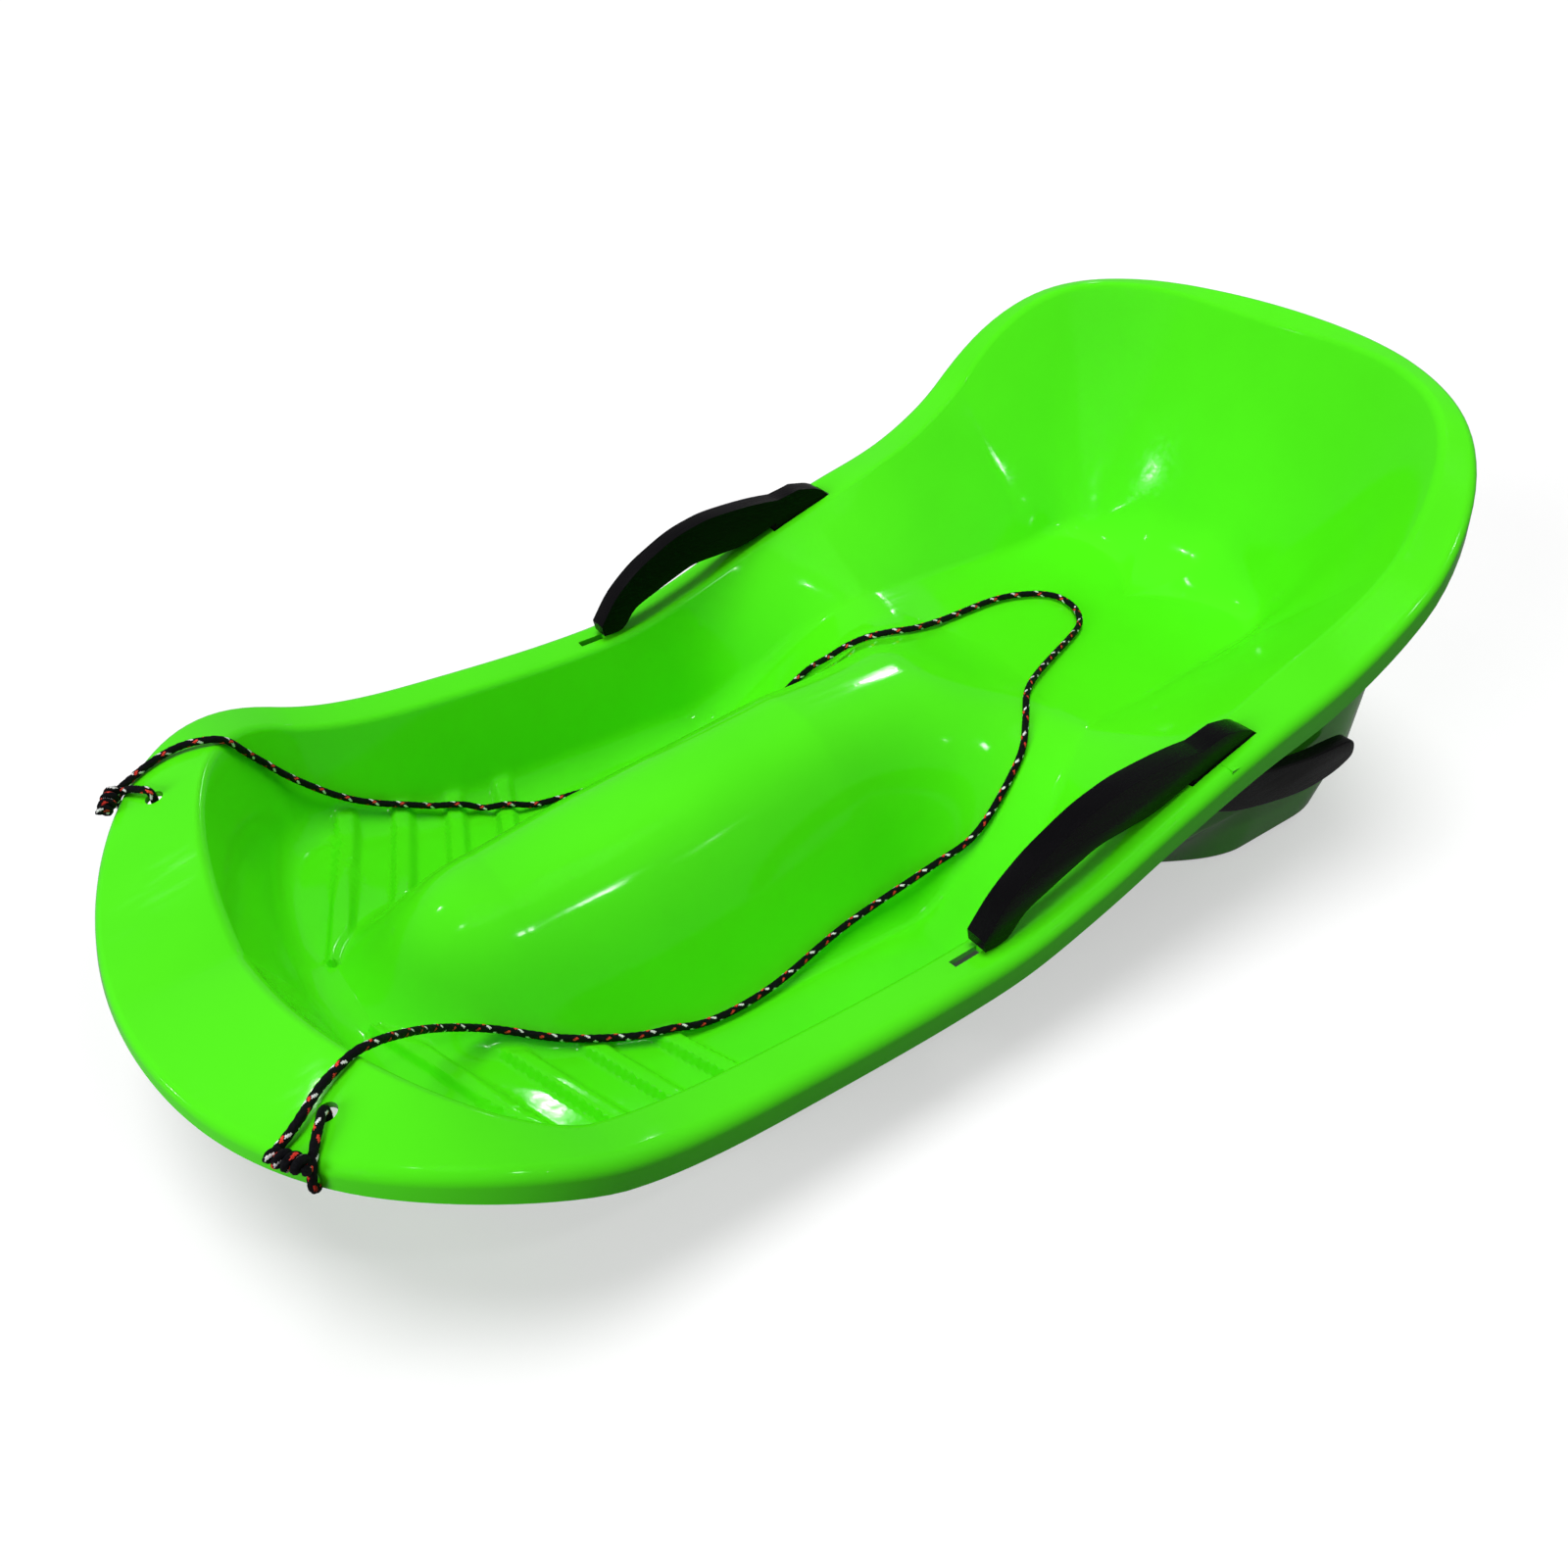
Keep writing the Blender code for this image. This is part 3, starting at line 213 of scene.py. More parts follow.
# Way of the rope between its ends: side, run from the nose and height of its middle, from right to left
ROPE_ROUTE = (
    (0.150, 0.053, 0.133), (0.142, 0.061, 0.134), (0.134, 0.076, 0.137),
    (0.128, 0.094, 0.137), (0.108, 0.117, 0.113), (0.081, 0.144, 0.076), (0.073, 0.177, 0.047),
    (0.092, 0.221, 0.027), (0.111, 0.287, 0.011), (0.114, 0.346, 0.011), (0.104, 0.420, 0.022),
    (0.103, 0.499, 0.036), (0.110, 0.532, 0.055), (0.102, 0.574, 0.097), (0.087, 0.592, 0.112),
    (0.057, 0.626, 0.117), (0.022, 0.709, 0.115), (0.010, 0.729, 0.115), (-0.012, 0.742, 0.115),
    (-0.036, 0.738, 0.115), (-0.052, 0.700, 0.116), (-0.052, 0.636, 0.116), (-0.052, 0.585, 0.119),
    (-0.081, 0.557, 0.098), (-0.111, 0.550, 0.072), (-0.124, 0.525, 0.042), (-0.133, 0.480, 0.009),
    (-0.144, 0.390, 0.008), (-0.158, 0.305, 0.008), (-0.173, 0.273, 0.014), (-0.184, 0.198, 0.046),
    (-0.188, 0.158, 0.080), (-0.188, 0.140, 0.103), (-0.180, 0.118, 0.133), (-0.184, 0.098, 0.139),
    (-0.185, 0.082, 0.136), (-0.181, 0.067, 0.133),
)

TOTAL = NOSE_RUN + STRAIGHT_RUN + TAIL_RUN
NOSE_TIP = -TOTAL / 2
NOSE_CENTRE = NOSE_TIP + NOSE_RUN
TAIL_CENTRE = NOSE_CENTRE + STRAIGHT_RUN
LEVER_X = HALF_WIDTH - LEVER_INSET

# Fineness of the shown hull's mesh, in steps
NOSE_STEPS = 44             # round half of the nose
SIDE_STEPS = 300            # along a straight side
TAIL_STEPS = 48             # round half of the tail
ROUND_STEPS = 9             # round each corner of the rim
BEND_STEPS = 10             # round the foot of the wall
WALL_STEPS = 22             # down the wall
FOOT_STEPS = 14             # from the foot inwards
INNER_STEPS = 64            # from there to the middle
LIP_STEPS = 4               # inside the rim's outer corner
OUTER_STEPS = 6             # round each bend of the outer wall
HOLLOW_STEPS = (0, 0, 2, 2, 0, 3, 0, 0)     # round the corners of the hollow
HOLLOW_FINE = 8             # stretch of the hollow's section that is made finer, where its roof bends
MERGE = 0.00001             # distance within which points are joined
SLIVER = 0.000005           # length up to which an edge is dissolved

# Rounding of a section's corners
SHORT_SIDE = 0.0001         # length of a side under which its corner stays sharp
STRAIGHT_HALF = 89.5        # half of the angle, in degrees, from which a corner counts as straight
CUT_SHARE = 0.48            # largest share of a side that a rounding takes
LAST_CUT_SHARE = 0.95       # the same of the last side

# Foot ribs in the footwells: chevrons whose outer ends lie further back
RIB_FIRST = 0.166           # distance of the first crest from the nose, where the rib is read
RIB_PITCH = 0.0405
RIB_COUNT = 4
RIB_READ_X = 0.140
RIB_SLANT = 0.40            # run to the rear for each step outwards
RIB_HALF = 0.0075           # half width
RIB_EDGE = 0.0034           # width of a rib's sloping edge
RIB_HEIGHT = 0.0062
RIB_INNER = 0.032           # no rib lies nearer to the middle than this
RIB_OUTER = 0.190           # distance from the middle where the ribs end
RIB_END = 0.012             # length of a rib's sloping outer end
RIB_RISE = (0.90, 0.99)     # where a rib rises beside the ridge, as a share of the ridge's half width
RIB_BELOW = 0.3             # the underside has ribs up to this share of the hollow's opening

# Fineness of the levers and the bores, in steps
LEVER_SIDES = 72            # round the hub
LEVER_PARTS = 4             # between two points of an outline
GRIP_SOFT_STEPS = 5         # round the grip's edges
PADDLE_SOFT_STEPS = 3       # round the paddle's edges
BORE_SIDES = 32             # round a pin's bore
HOLE_SIDES = 40             # round a rope hole

# Angles between faces, in degrees
SHARP_EDGE = 35.0           # from which an edge is shaded sharp
SHARP_LEVER_EDGE = 30.0     # the same on a lever
SHARP_CORD_EDGE = 80.0      # the same on the cord
SOFT_EDGE = 50.0            # from which a lever's edge is rounded

# Braid of the cord
BRAID_SIDES = 24            # points round it
BRAID_STRANDS = 4           # strands that wind to each side
BRAID_RING = 0.0009         # distance between its rings of points
BRAID_CELL = 0.0052         # length of one crossing of the strands
BRAID_DEPTH = 0.00040       # depth of the furrows between them
BRAID_COLOURED = (0.25, 0.75)       # part of a coloured strand's width that shows its colour
RED_STRAND = 0              # number of the red strand, which winds to the right
WHITE_STRAND = 2            # number of the white strand, which winds to the left
COIL_STEPS = 24             # steps of one turn of a knot
LOOP_PARTS = 8              # steps between two points of its loop

# Laying of the rope on the hull
ROUTE_PARTS = 12            # steps between two points of its way
LAY_PARTS = 3               # points that are laid, for each step of the way
LAY_CHECKS = (0.25, 0.5, 0.75)      # where the clearance is read between two points
LAY_ROUNDS = 24             # rounds in which the points are moved clear
SMOOTH_ROUNDS = 2           # times that the line is smoothed afterwards
SMOOTH_LAY_ROUNDS = 6       # rounds in which the smoothed points are moved clear
LINE_PARTS = 4              # steps between two points of the shown line

# Camera
CAMERA_AT = Vector((0.5887, -0.4552, 0.6181))
CAMERA_RIGHT = Vector((0.59000, 0.80733, 0.01101))
CAMERA_AHEAD = Vector((-0.64216, 0.47747, -0.59971))
SENSOR = 36.0               # width in millimetres
LENS = 29.25                # focal length in millimetres

# Plastics: name, colour, colour of its clouds, roughness, grain's strength and fineness, refraction
HULL_PLASTIC = ("green_plastic", (0.075, 0.75, 0.006), (0.067, 0.70, 0.005), 0.07, 0.05, 260.0, 1.32)
LEVER_PLASTIC = ("black_plastic", (0.0035, 0.003, 0.004), (0.002, 0.002, 0.0025), 0.26, 0.25, 1500.0, 1.16)
CLOUD_SCALE = 7.0           # fineness of the clouds
CLOUD_DETAIL = 3.0
CLOUD_RANGE = (0.30, 0.62)  # noise between the clouds' colour and the plain one
GRAIN_DEPTH = 0.0004        # height of the moulded grain at full strength
SCRATCH_STRETCH = (220.0, 14.0, 220.0)      # fineness of the scratches, which run along the sled
SCRATCH_RANGE = (0.45, 0.85)        # noise between a smooth place and a scratched one
SCRATCH_ROUGH = 0.14        # roughness that a scratch adds
FINE_DETAIL = 2.0           # detail of the scratches, the grain and the threads

# Yarns of the cord: name, colour and colour of the lighter threads
YARNS = (
    ("black_yarn", (0.0015, 0.0015, 0.002), (0.005, 0.005, 0.007)),
    ("red_yarn", (0.55, 0.02, 0.015), (0.85, 0.08, 0.05)),
    ("white_yarn", (0.55, 0.55, 0.55), (0.85, 0.85, 0.83)),
)
THREAD_SCALE = 900.0        # fineness of the threads
THREAD_RANGE = (0.35, 0.75)         # noise between the two colours
THREAD_STRENGTH = 0.5       # strength and depth of the threads' relief
THREAD_DEPTH = 0.0003
YARN_ROUGH = 0.7
YARN_GLOSS = 0.15

# Plated steel
STEEL_DARK = (0.46, 0.47, 0.49)
STEEL_PALE = (0.66, 0.67, 0.69)
STEEL_SCALE = 700.0         # fineness of the turned grain
STEEL_ROUGH = (0.22, 0.45)

# Surroundings
WHITE = (1.0, 1.0, 1.0, 1.0)
WORLD_LIGHT = 0.13          # light of the sky overhead
HORIZON_LIGHT = 0.03        # the same near the horizon
SKY_FULL = 0.8              # height at which the sky has its full light, 1 being straight up
FLOOR_BOUNCE = 0.05         # how pale the floor is to light that it throws back
FLOOR_PALE = 0.48           # how pale it is to the camera
FLOOR_GLOW = 0.50           # how white the floor is seen where it lies in shadow
FLOOR_ROUGH = 0.9
FLOOR_SIZE = 12.0
FLOOR_DROP = 0.0005         # gap between the floor and the foot of the hull
MIRRORED = 0.22             # how much of the white surroundings shows in glossy reflections
LAMP_AIM = Vector((0.0, 0.0, 0.1))  # place that the small lamps shine at

# Suns: name, direction from the sled, width in degrees and strength
SUNS = (
    ("overhead", (-0.08, -0.10, 0.99), 30.0, 2.30),
    ("front", (0.0, -0.95, 0.28), 30.0, 1.90),
    ("rear", (0.0, 0.85, 0.50), 40.0, 0.58),
)

# Small lamps for the highlights: name, direction from the sled, distance, size and power
LAMPS = (
    ("side_spot", (0.60, -0.02, 0.80), 2.2, (0.20, 0.09), 3.0),
    ("ridge_spot", (0.70, 0.20, 0.69), 2.2, (0.03, 0.03), 0.15),
    ("back_spot", (-0.07, -0.99, 0.12), 2.4, (0.14, 0.04), 1.3),
    ("back_left_spot", (-0.46, -0.87, 0.16), 2.4, (0.06, 0.04), 0.6),
    ("far_spot", (-0.62, 0.58, 0.53), 2.4, (0.10, 0.04), 1.0),
    ("nose_spot", (-0.60, -0.42, 0.64), 2.4, (0.10, 0.05), 1.0),
    ("rim_spot", (-0.05, -0.48, 0.87), 2.4, (0.06, 0.06), 0.8),
)


def blend(value, low, high):
    """Smooth step from 0 at low to 1 at high."""
    share = min(1.0, max(0.0, (value - low) / (high - low)))
    return share * share * (3.0 - 2.0 * share)


def mix(first, second, share):
    return first + (second - first) * share


def through(line, where):
    """Height of a smooth curve through the points of a line."""
    if where <= line[0][0]:
        return line[0][1]
    if where >= line[-1][0]:
        return line[-1][1]
    index = next(i for i in range(len(line) - 1) if line[i + 1][0] >= where)

    def slope(i):
        low, high = max(0, i - 1), min(len(line) - 1, i + 1)
        return (line[high][1] - line[low][1]) / (line[high][0] - line[low][0])

    (x0, y0), (x1, y1) = line[index], line[index + 1]
    run = x1 - x0
    t = (where - x0) / run
    return ((2 * t ** 3 - 3 * t ** 2 + 1) * y0 + (t ** 3 - 2 * t ** 2 + t) * run * slope(index)
            + (3 * t ** 2 - 2 * t ** 3) * y1 + (t ** 3 - t ** 2) * run * slope(index + 1))


def rim_height(y):
    """Height of the rim's crest, averaged over a short stretch so that the gloss shows no kinks."""
    return sum(through(RIM_LINE, y - NOSE_TIP + d) for d in RIM_AVERAGE) / len(RIM_AVERAGE)


def reach(angle, wide, deep, power):
    """Radius of a superellipse, seen from its centre."""
    side = (abs(math.cos(angle)) / wide) ** power
    end = (abs(math.sin(angle)) / deep) ** power
    return (side + end) ** (-1.0 / power)


def seat_share(run):
    return blend(run, WELL_END, SEAT_START)


def inner_half(run):
    """Half width between the rim's inner corners along the straight sides."""
    waist = WAIST * blend(run, WAIST_START, WAIST_FULL) * (1 - blend(run, WAIST_FADE, WAIST_END))
    return HALF_WIDTH - SIDE_FLANGE - waist


def foot_half(run):
    """Half width of the floor along the straight sides."""
    well = HALF_WIDTH - SIDE_FLANGE - FOOTWELL_INSET
    half = mix(well, SEAT_HALF + SEAT_FLARE, blend(run, WELL_END, SEAT_WIDE_RUN))
    return half - SEAT_TAPER * blend(run, TAPER_START, TAPER_END)


def hollow_share(run):
    return blend(run, HOLLOW_START, HOLLOW_FULL)


def from_ridge(x, run):
    """Distance from the ridge's middle, as a share of the way to its foot."""
    half = mix(RIDGE_FRONT_HALF, RIDGE_HALF, blend(run, RIDGE_WIDEN_RUN, RIDGE_WIDE_RUN))
    ahead = max(0.0, (RIDGE_FRONT_END - run) / RIDGE_FRONT_RUN)
    return math.hypot(x / half, ahead)


def floor_height(x, y):
    """Height of the tub's floor, with the ridge and the seat."""
    run = y - NOSE_TIP
    slope = mix(FLOOR_NOSE, SKIN, blend(run, FLOOR_SLOPE_START, FLOOR_SLOPE_END))
    dish = SEAT_DISH * max(0.0, 1 - (x / SEAT_HALF) ** 2) * seat_share(run)
    rear = max(0.0, (run - TOTAL + TAIL_RUN - SEAT_TAIL_RUN) / BACK_RISE_RUN + 1)
    ground = mix(slope, SEAT_HEIGHT, seat_share(run)) - dish + BACK_RISE * rear ** 2
    away = from_ridge(x, run)
    climb = min(1.0, max(0.0, (run - RIDGE_FRONT_END) / (RIDGE_TOP_START - RIDGE_FRONT_END)))
    top = mix(RIDGE_FRONT_TOP, RIDGE_TOP, climb)
    top = mix(top, SEAT_HEIGHT - SEAT_DISH, blend(run, RIDGE_FALL_RUN, RIDGE_END_RUN))
    if away >= 1.0 or top <= ground:
        return ground
    return ground + (top - ground) * (1 - away ** RIDGE_FLAT) ** RIDGE_FLANK


class Station:
    """One half section of the hull, in the upright plane through a centre line and the rim."""

    def __init__(self, kind, value):
        self.kind = kind
        self.angle = value if kind != "side" else 0.0
        self.centre = {"nose": NOSE_CENTRE, "side": value, "tail": TAIL_CENTRE}[kind]
        self.turn = abs(math.sin(self.angle)) if kind != "side" else 0.0

    def span(self, half, nose_run, tail_run, nose_power=2.0, tail_power=2.0):
        if self.kind == "nose":
            return reach(self.angle, half, nose_run, nose_power)
        if self.kind == "tail":
            return reach(self.angle, half, tail_run, tail_power)
        return half

    def point(self, radius, height):
        return (radius * math.cos(self.angle), self.centre + radius * math.sin(self.angle), height)

    def run(self):
        """Distance of this section's crest from the tip of the nose."""
        return self.point(self.crest(), 0.0)[1] - NOSE_TIP

    def crest(self):
        return self.span(HALF_WIDTH, NOSE_RUN, TAIL_RUN)

    def edge(self):
        half = inner_half(self.centre - NOSE_TIP)
        return self.span(half, NOSE_RUN - NOSE_FLANGE, TAIL_RUN - TAIL_FLANGE, 2.0, EDGE_POWER)

    def foot(self):
        half = foot_half(self.centre - NOSE_TIP)
        return self.span(half, FOOTWELL_NOSE_RUN, SEAT_TAIL_RUN, NOSE_POWER, SEAT_POWER)

    def edge_lift(self):
        if self.kind == "side":
            run = self.centre - NOSE_TIP
            return mix(-EDGE_DROP_SIDE, EDGE_LIFT_SEAT, blend(run, LIFT_START, LIFT_FULL))
        if self.kind == "tail":
            return mix(EDGE_LIFT_SEAT, -EDGE_DROP_SIDE - EDGE_DROP_TAIL, self.turn ** 2)
        corner = math.sin(2 * abs(self.angle))
        return -EDGE_DROP_SIDE + EDGE_LIFT_CORNER * corner + EDGE_LIFT_NOSE * self.turn ** 2

    def lip_drop(self):
        end = {"nose": LIP_DROP_NOSE, "side": LIP_DROP, "tail": LIP_DROP_TAIL}[self.kind]
        return mix(LIP_DROP, end, self.turn)

    def floor(self, radius):
        x, y, _ = self.point(radius, 0.0)
        return floor_height(x, y)


def all_stations(nose_steps, side_steps, tail_steps):
    made = [Station("nose", -math.pi / 2 * (1 - i / nose_steps)) for i in range(nose_steps)]
    made += [Station("side", NOSE_CENTRE + STRAIGHT_RUN * i / side_steps) for i in range(side_steps)]
    made += [Station("tail", math.pi / 2 * i / tail_steps) for i in range(tail_steps + 1)]
    return made


def offset_line(points, distance):
    """Corner points of an open polyline moved sideways, to its right."""
    moved = []
    for index, (a, b) in enumerate(points):
        normals = []
        for first, second in ((index - 1, index), (index, index + 1)):
            if first < 0 or second >= len(points):
                continue
            dx = points[second][0] - points[first][0]
            dz = points[second][1] - points[first][1]
            size = math.hypot(dx, dz)
            normals.append((dz / size, -dx / size))
        if len(normals) == 1:
            nx, nz = normals[0]
            moved.append((a + nx * distance, b + nz * distance))
            continue
        (n0x, n0z), (n1x, n1z) = normals
        scale = distance / (1 + n0x * n1x + n0z * n1z)
        moved.append((a + (n0x + n1x) * scale, b + (n0z + n1z) * scale))
    return moved


def rounded(points, radii, steps):
    """Open polyline with its inner corners rounded, always with the same number of points."""
    made = [points[0]]
    for i in range(1, len(points) - 1):
        before, corner, after = (Vector(points[j]) for j in (i - 1, i, i + 1))
        back, ahead = (before - corner), (after - corner)
        flat = min(back.length, ahead.length) < SHORT_SIDE
        half = 0.0 if flat else back.angle(ahead) / 2
        if flat or radii[i] <= 0 or half > math.radians(STRAIGHT_HALF):
            made += [tuple(corner)] * (steps[i] + 1)
            continue
        room = LAST_CUT_SHARE if i == len(points) - 2 else CUT_SHARE
        cut = min(radii[i] / math.tan(half), CUT_SHARE * back.length, room * ahead.length)
        start, end = corner + back.normalized() * cut, corner + ahead.normalized() * cut
        middle = corner + (back.normalized() + ahead.normalized()).normalized() * (cut / math.cos(half))
        low, high = start - middle, end - middle
        for k in range(steps[i] + 1):
            share = k / steps[i]
            ray = low.lerp(high, share).normalized() * mix(low.length, high.length, share)
            made.append(tuple(middle + ray))
    made.append(points[-1])
    return made


def top_line(station):
    """Corner points of the hull's upper surface, from the lip to the floor."""
    crest, edge, foot = station.crest(), station.edge(), station.foot()
    rim = rim_height(station.point(crest, 0)[1])
    inward = mix(INWARD, INWARD_BACK, back_share(station)) * foot
    return [
        (crest + LIP_FLARE, rim - station.lip_drop()),
        (crest, rim),
        (edge, rim + station.edge_lift()),
        (foot, station.floor(foot)),
        (inward, station.floor(inward)),
    ]


def back_share(station):
    """0 beside the seat and in front of it, 1 at the backrest."""
    if station.kind != "tail":
        return 0.0
    return blend(math.degrees(station.angle), BACK_ROUND_FROM, BACK_ROUND_FULL)


def foot_round(station):
    if station.kind == "tail":
        return mix(SEAT_ROUND, BACK_ROUND, back_share(station))
    return mix(FOOT_ROUND, SEAT_ROUND, seat_share(station.run()))


def outer_points(station, under):
    """Outer wall below the rim: its top, its lower bend, its foot and the inner end of its runner."""
    run = station.run()
    turn = math.degrees(station.angle)
    top, foot, inward = under[2], under[3], under[4]
    share = hollow_share(run)
    open_below = run > HOLLOW_START
    bend_half = HALF_WIDTH - KNUCKLE_INSET
    knuckle = station.span(bend_half, 0.0, KNUCKLE_TAIL_RUN, 2.0, BASE_POWER) if open_below else 0.0
    width = HALF_WIDTH - mix(BASE_FRONT_INSET, BASE_INSET, blend(run, HOLLOW_FULL, BASE_FULL))
    wide = max(width, foot[0])
    base = station.span(wide, 0.0, BASE_TAIL_RUN, 2.0, BASE_POWER) if open_below else 0.0
    strip = mix(RUNNER_WIDTH, RUNNER_TAIL_WIDTH, blend(turn, 0.0, RUNNER_TAIL_FROM))
    bilge = (mix(top[0], foot[0], BILGE_PLACE), mix(top[1], foot[1], BILGE_PLACE))
    return [
        (mix(top[0], station.edge() + SKIN, share), top[1]),
        (mix(bilge[0], knuckle, share), mix(bilge[1], KNUCKLE_HEIGHT, share)),
        (mix(foot[0], base, share), mix(foot[1], 0.0, share)),
        (mix(inward[0], base - strip, share), mix(inward[1], 0.0, share)),
    ]


def split(points, index, parts):
    """The line with extra points on the stretch that starts at the given index."""
    first, second = points[index], points[index + 1]
    shares = [k / parts for k in range(1, parts)]
    extra = [(mix(first[0], second[0], s), mix(first[1], second[1], s)) for s in shares]
    return points[:index + 1] + extra + points[index + 1:]


def underside(station):
    """Corner points of the hull's upper surface, and of the surface one skin under it."""
    line = top_line(station)
    under = offset_line(line, -SKIN)
    inward = INWARD * station.foot()
    under[4] = (inward, station.floor(inward) - SKIN)
    return line, under


def hollow_section(station):
    """Section of the hollow between the outer wall and the tub."""
    line, under = underside(station)
    outer = outer_points(station, under)
    top, foot, _ = offset_line(line, -HOLLOW_SKIN)[2:5]
    inward = (under[4][0], under[4][1] + SKIN - HOLLOW_SKIN)
    depth = (top[0] - outer[0][0] + SKIN) / (top[0] - foot[0])
    points = [
        (outer[3][0] - HOLLOW_INSET, outer[3][1] + SKIN),
        (outer[2][0] - SKIN, outer[2][1] + SKIN),
        (outer[1][0] - SKIN, outer[1][1] + SKIN / 2),
        (mix(top[0], foot[0], depth), mix(top[1], foot[1], depth)),
        foot,
        (inward[0] - HOLLOW_INSET, inward[1] - SKIN / 2),
    ]
    radii = (0, 0, SKIN, HOLLOW_BEND, 0, foot_round(station), 0, 0)
    points = rounded([points[-1]] + points + [points[0]], radii, HOLLOW_STEPS)[1:-1]
    points = split(points, HOLLOW_FINE, WALL_STEPS)
    return [station.point(r, z) for r, z in points]


def rib_height(x, y):
    """Height of the foot ribs over the floor."""
    run, side = y - NOSE_TIP, abs(x)
    share = blend(from_ridge(x, run), *RIB_RISE) * (1 - blend(side, RIB_OUTER - RIB_END, RIB_OUTER))
    if side <= RIB_INNER or share <= 0.0:
        return 0.0
    place = (run - RIB_SLANT * (side - RIB_READ_X) - RIB_FIRST) / RIB_PITCH
    number = min(RIB_COUNT - 1, max(0, round(place)))
    across = abs(place - number) * RIB_PITCH * math.cos(math.atan(RIB_SLANT))
    return RIB_HEIGHT * share * (1 - blend(across, RIB_HALF - RIB_EDGE, RIB_HALF + RIB_EDGE / 2))


def with_ribs(points):
    return [(x, y, z + rib_height(x, y)) for x, y, z in points]


def fine_section(station):
    """Half section of the shown hull: its top from the lip to the middle, and its underside likewise."""
    line, under = underside(station)
    bend = foot_round(station)
    top = rounded(line, (0, CREST_ROUND, EDGE_ROUND, bend, 0), (0, ROUND_STEPS, ROUND_STEPS, BEND_STEPS, 0))
    wall = 2 * ROUND_STEPS + 2
    top = split(top, wall, WALL_STEPS)
    top = split(top, wall + WALL_STEPS + BEND_STEPS, FOOT_STEPS)
    outer = outer_points(station, under)
    share = hollow_share(station.run())
    lip = rounded([under[0], under[1], outer[0]], (0, CREST_ROUND - SKIN, 0), (0, LIP_STEPS, 0))
    bends = (0, mix(BILGE_ROUND, KNUCKLE_ROUND, share), mix(bend, BASE_ROUND, share), 0)
    bottom = rounded(outer, bends, (0, OUTER_STEPS, OUTER_STEPS, 0))
    bottom = split(bottom, len(bottom) - 2, FOOT_STEPS)
    shares = [1 - i / INNER_STEPS for i in range(1, INNER_STEPS + 1)]
    upper = top + [(s * line[4][0], station.floor(s * line[4][0])) for s in shares]
    below = [(s * under[4][0], station.floor(s * under[4][0]) - SKIN) for s in shares]
    lower = lip + bottom[1:] + [under[4]] + below
    upper = with_ribs([station.point(*p) for p in upper])
    lower = [station.point(*p) for p in lower]
    return upper, lower if share > RIB_BELOW else with_ribs(lower)


def linked(name, data):
    """New object in the scene."""
    made = bpy.data.objects.new(name, data)
    bpy.context.scene.collection.objects.link(made)
    return made


def mesh_object(name, mesh):
    """New object whose shape is a finished bmesh."""
    data = bpy.data.meshes.new(name)
    mesh.to_mesh(data)
    mesh.free()
    return linked(name, data)


def smooth(target, sharp):
    """Shades an object smoothly, with sharp edges from an angle given in degrees."""
    target.data.shade_smooth()
    target.data.set_sharp_from_angle(angle=math.radians(sharp))


def make_object(name, mesh, shade, sharp=SHARP_EDGE):
    made = mesh_object(name, mesh)
    made.data.materials.append(shade)
    smooth(made, sharp)
    return made


def cover(target, shade, sharp):
    """Gives all faces of an object one material."""
    target.data.materials.clear()
    target.data.materials.append(shade)
    for face in target.data.polygons:
        face.material_index = 0
    smooth(target, sharp)


def add_rings(mesh, rings, closed):
    """Adds a tube through rings of points, with flat ends unless it is closed."""
    loops = [[mesh.verts.new(p) for p in ring] for ring in rings]
    count = len(loops[0])
    pairs = list(zip(loops, loops[1:] + loops[:1])) if closed else list(zip(loops, loops[1:]))
    for first, second in pairs:
        for i in range(count):
            j = (i + 1) % count
            mesh.faces.new((first[i], first[j], second[j], second[i]))
    if not closed:
        mesh.faces.new(loops[0][::-1])
        mesh.faces.new(loops[-1])


def hollow_rings():
    """Sections of the hollow, from its front on the right side round the tail to its front on the left."""
    step = STRAIGHT_RUN / SIDE_STEPS
    places = [NOSE_CENTRE + step * i for i in range(SIDE_STEPS)]
    places = [y for y in places if y - NOSE_TIP > HOLLOW_FULL]
    front = places[0] - step / 3
    half = [hollow_section(Station("side", y)) for y in [front] + places]
    half += [hollow_section(Station("tail", math.pi / 2 * i / TAIL_STEPS)) for i in range(TAIL_STEPS + 1)]
    return half + [[(-x, y, z) for x, y, z in section] for section in half[-2::-1]]


def apply_steps(target):
    """Turns an object's modifiers into its mesh."""
    graph = bpy.context.evaluated_depsgraph_get()
    data = bpy.data.meshes.new_from_object(target.evaluated_get(graph))
    target.modifiers.clear()
    target.data = data


def combine(target, tool, how):
    """Applies a Boolean to the target's mesh and removes the tool."""
    step = target.modifiers.new(how.lower(), "BOOLEAN")
    step.operation = how
    step.object = tool
    apply_steps(target)
    bpy.data.objects.remove(tool, do_unlink=True)


def add_box(mesh, low, high):
    """Adds a box between two opposite corners."""
    low, high = Vector(low), Vector(high)
    made = bmesh.ops.create_cube(mesh, size=1.0)["verts"]
    bmesh.ops.scale(mesh, verts=made, vec=high - low)
    bmesh.ops.translate(mesh, verts=made, vec=(low + high) / 2)


def add_prism(mesh, outline, low, high):
    """Adds a solid between two X planes with a given outline of (y, z) points."""
    first = [mesh.verts.new((low, y, z)) for y, z in outline]
    second = [mesh.verts.new((high, y, z)) for y, z in outline]
    mesh.faces.new(first)
    mesh.faces.new(second[::-1])
    for i in range(len(outline)):
        j = (i + 1) % len(outline)
        mesh.faces.new((first[i], second[i], second[j], first[j]))


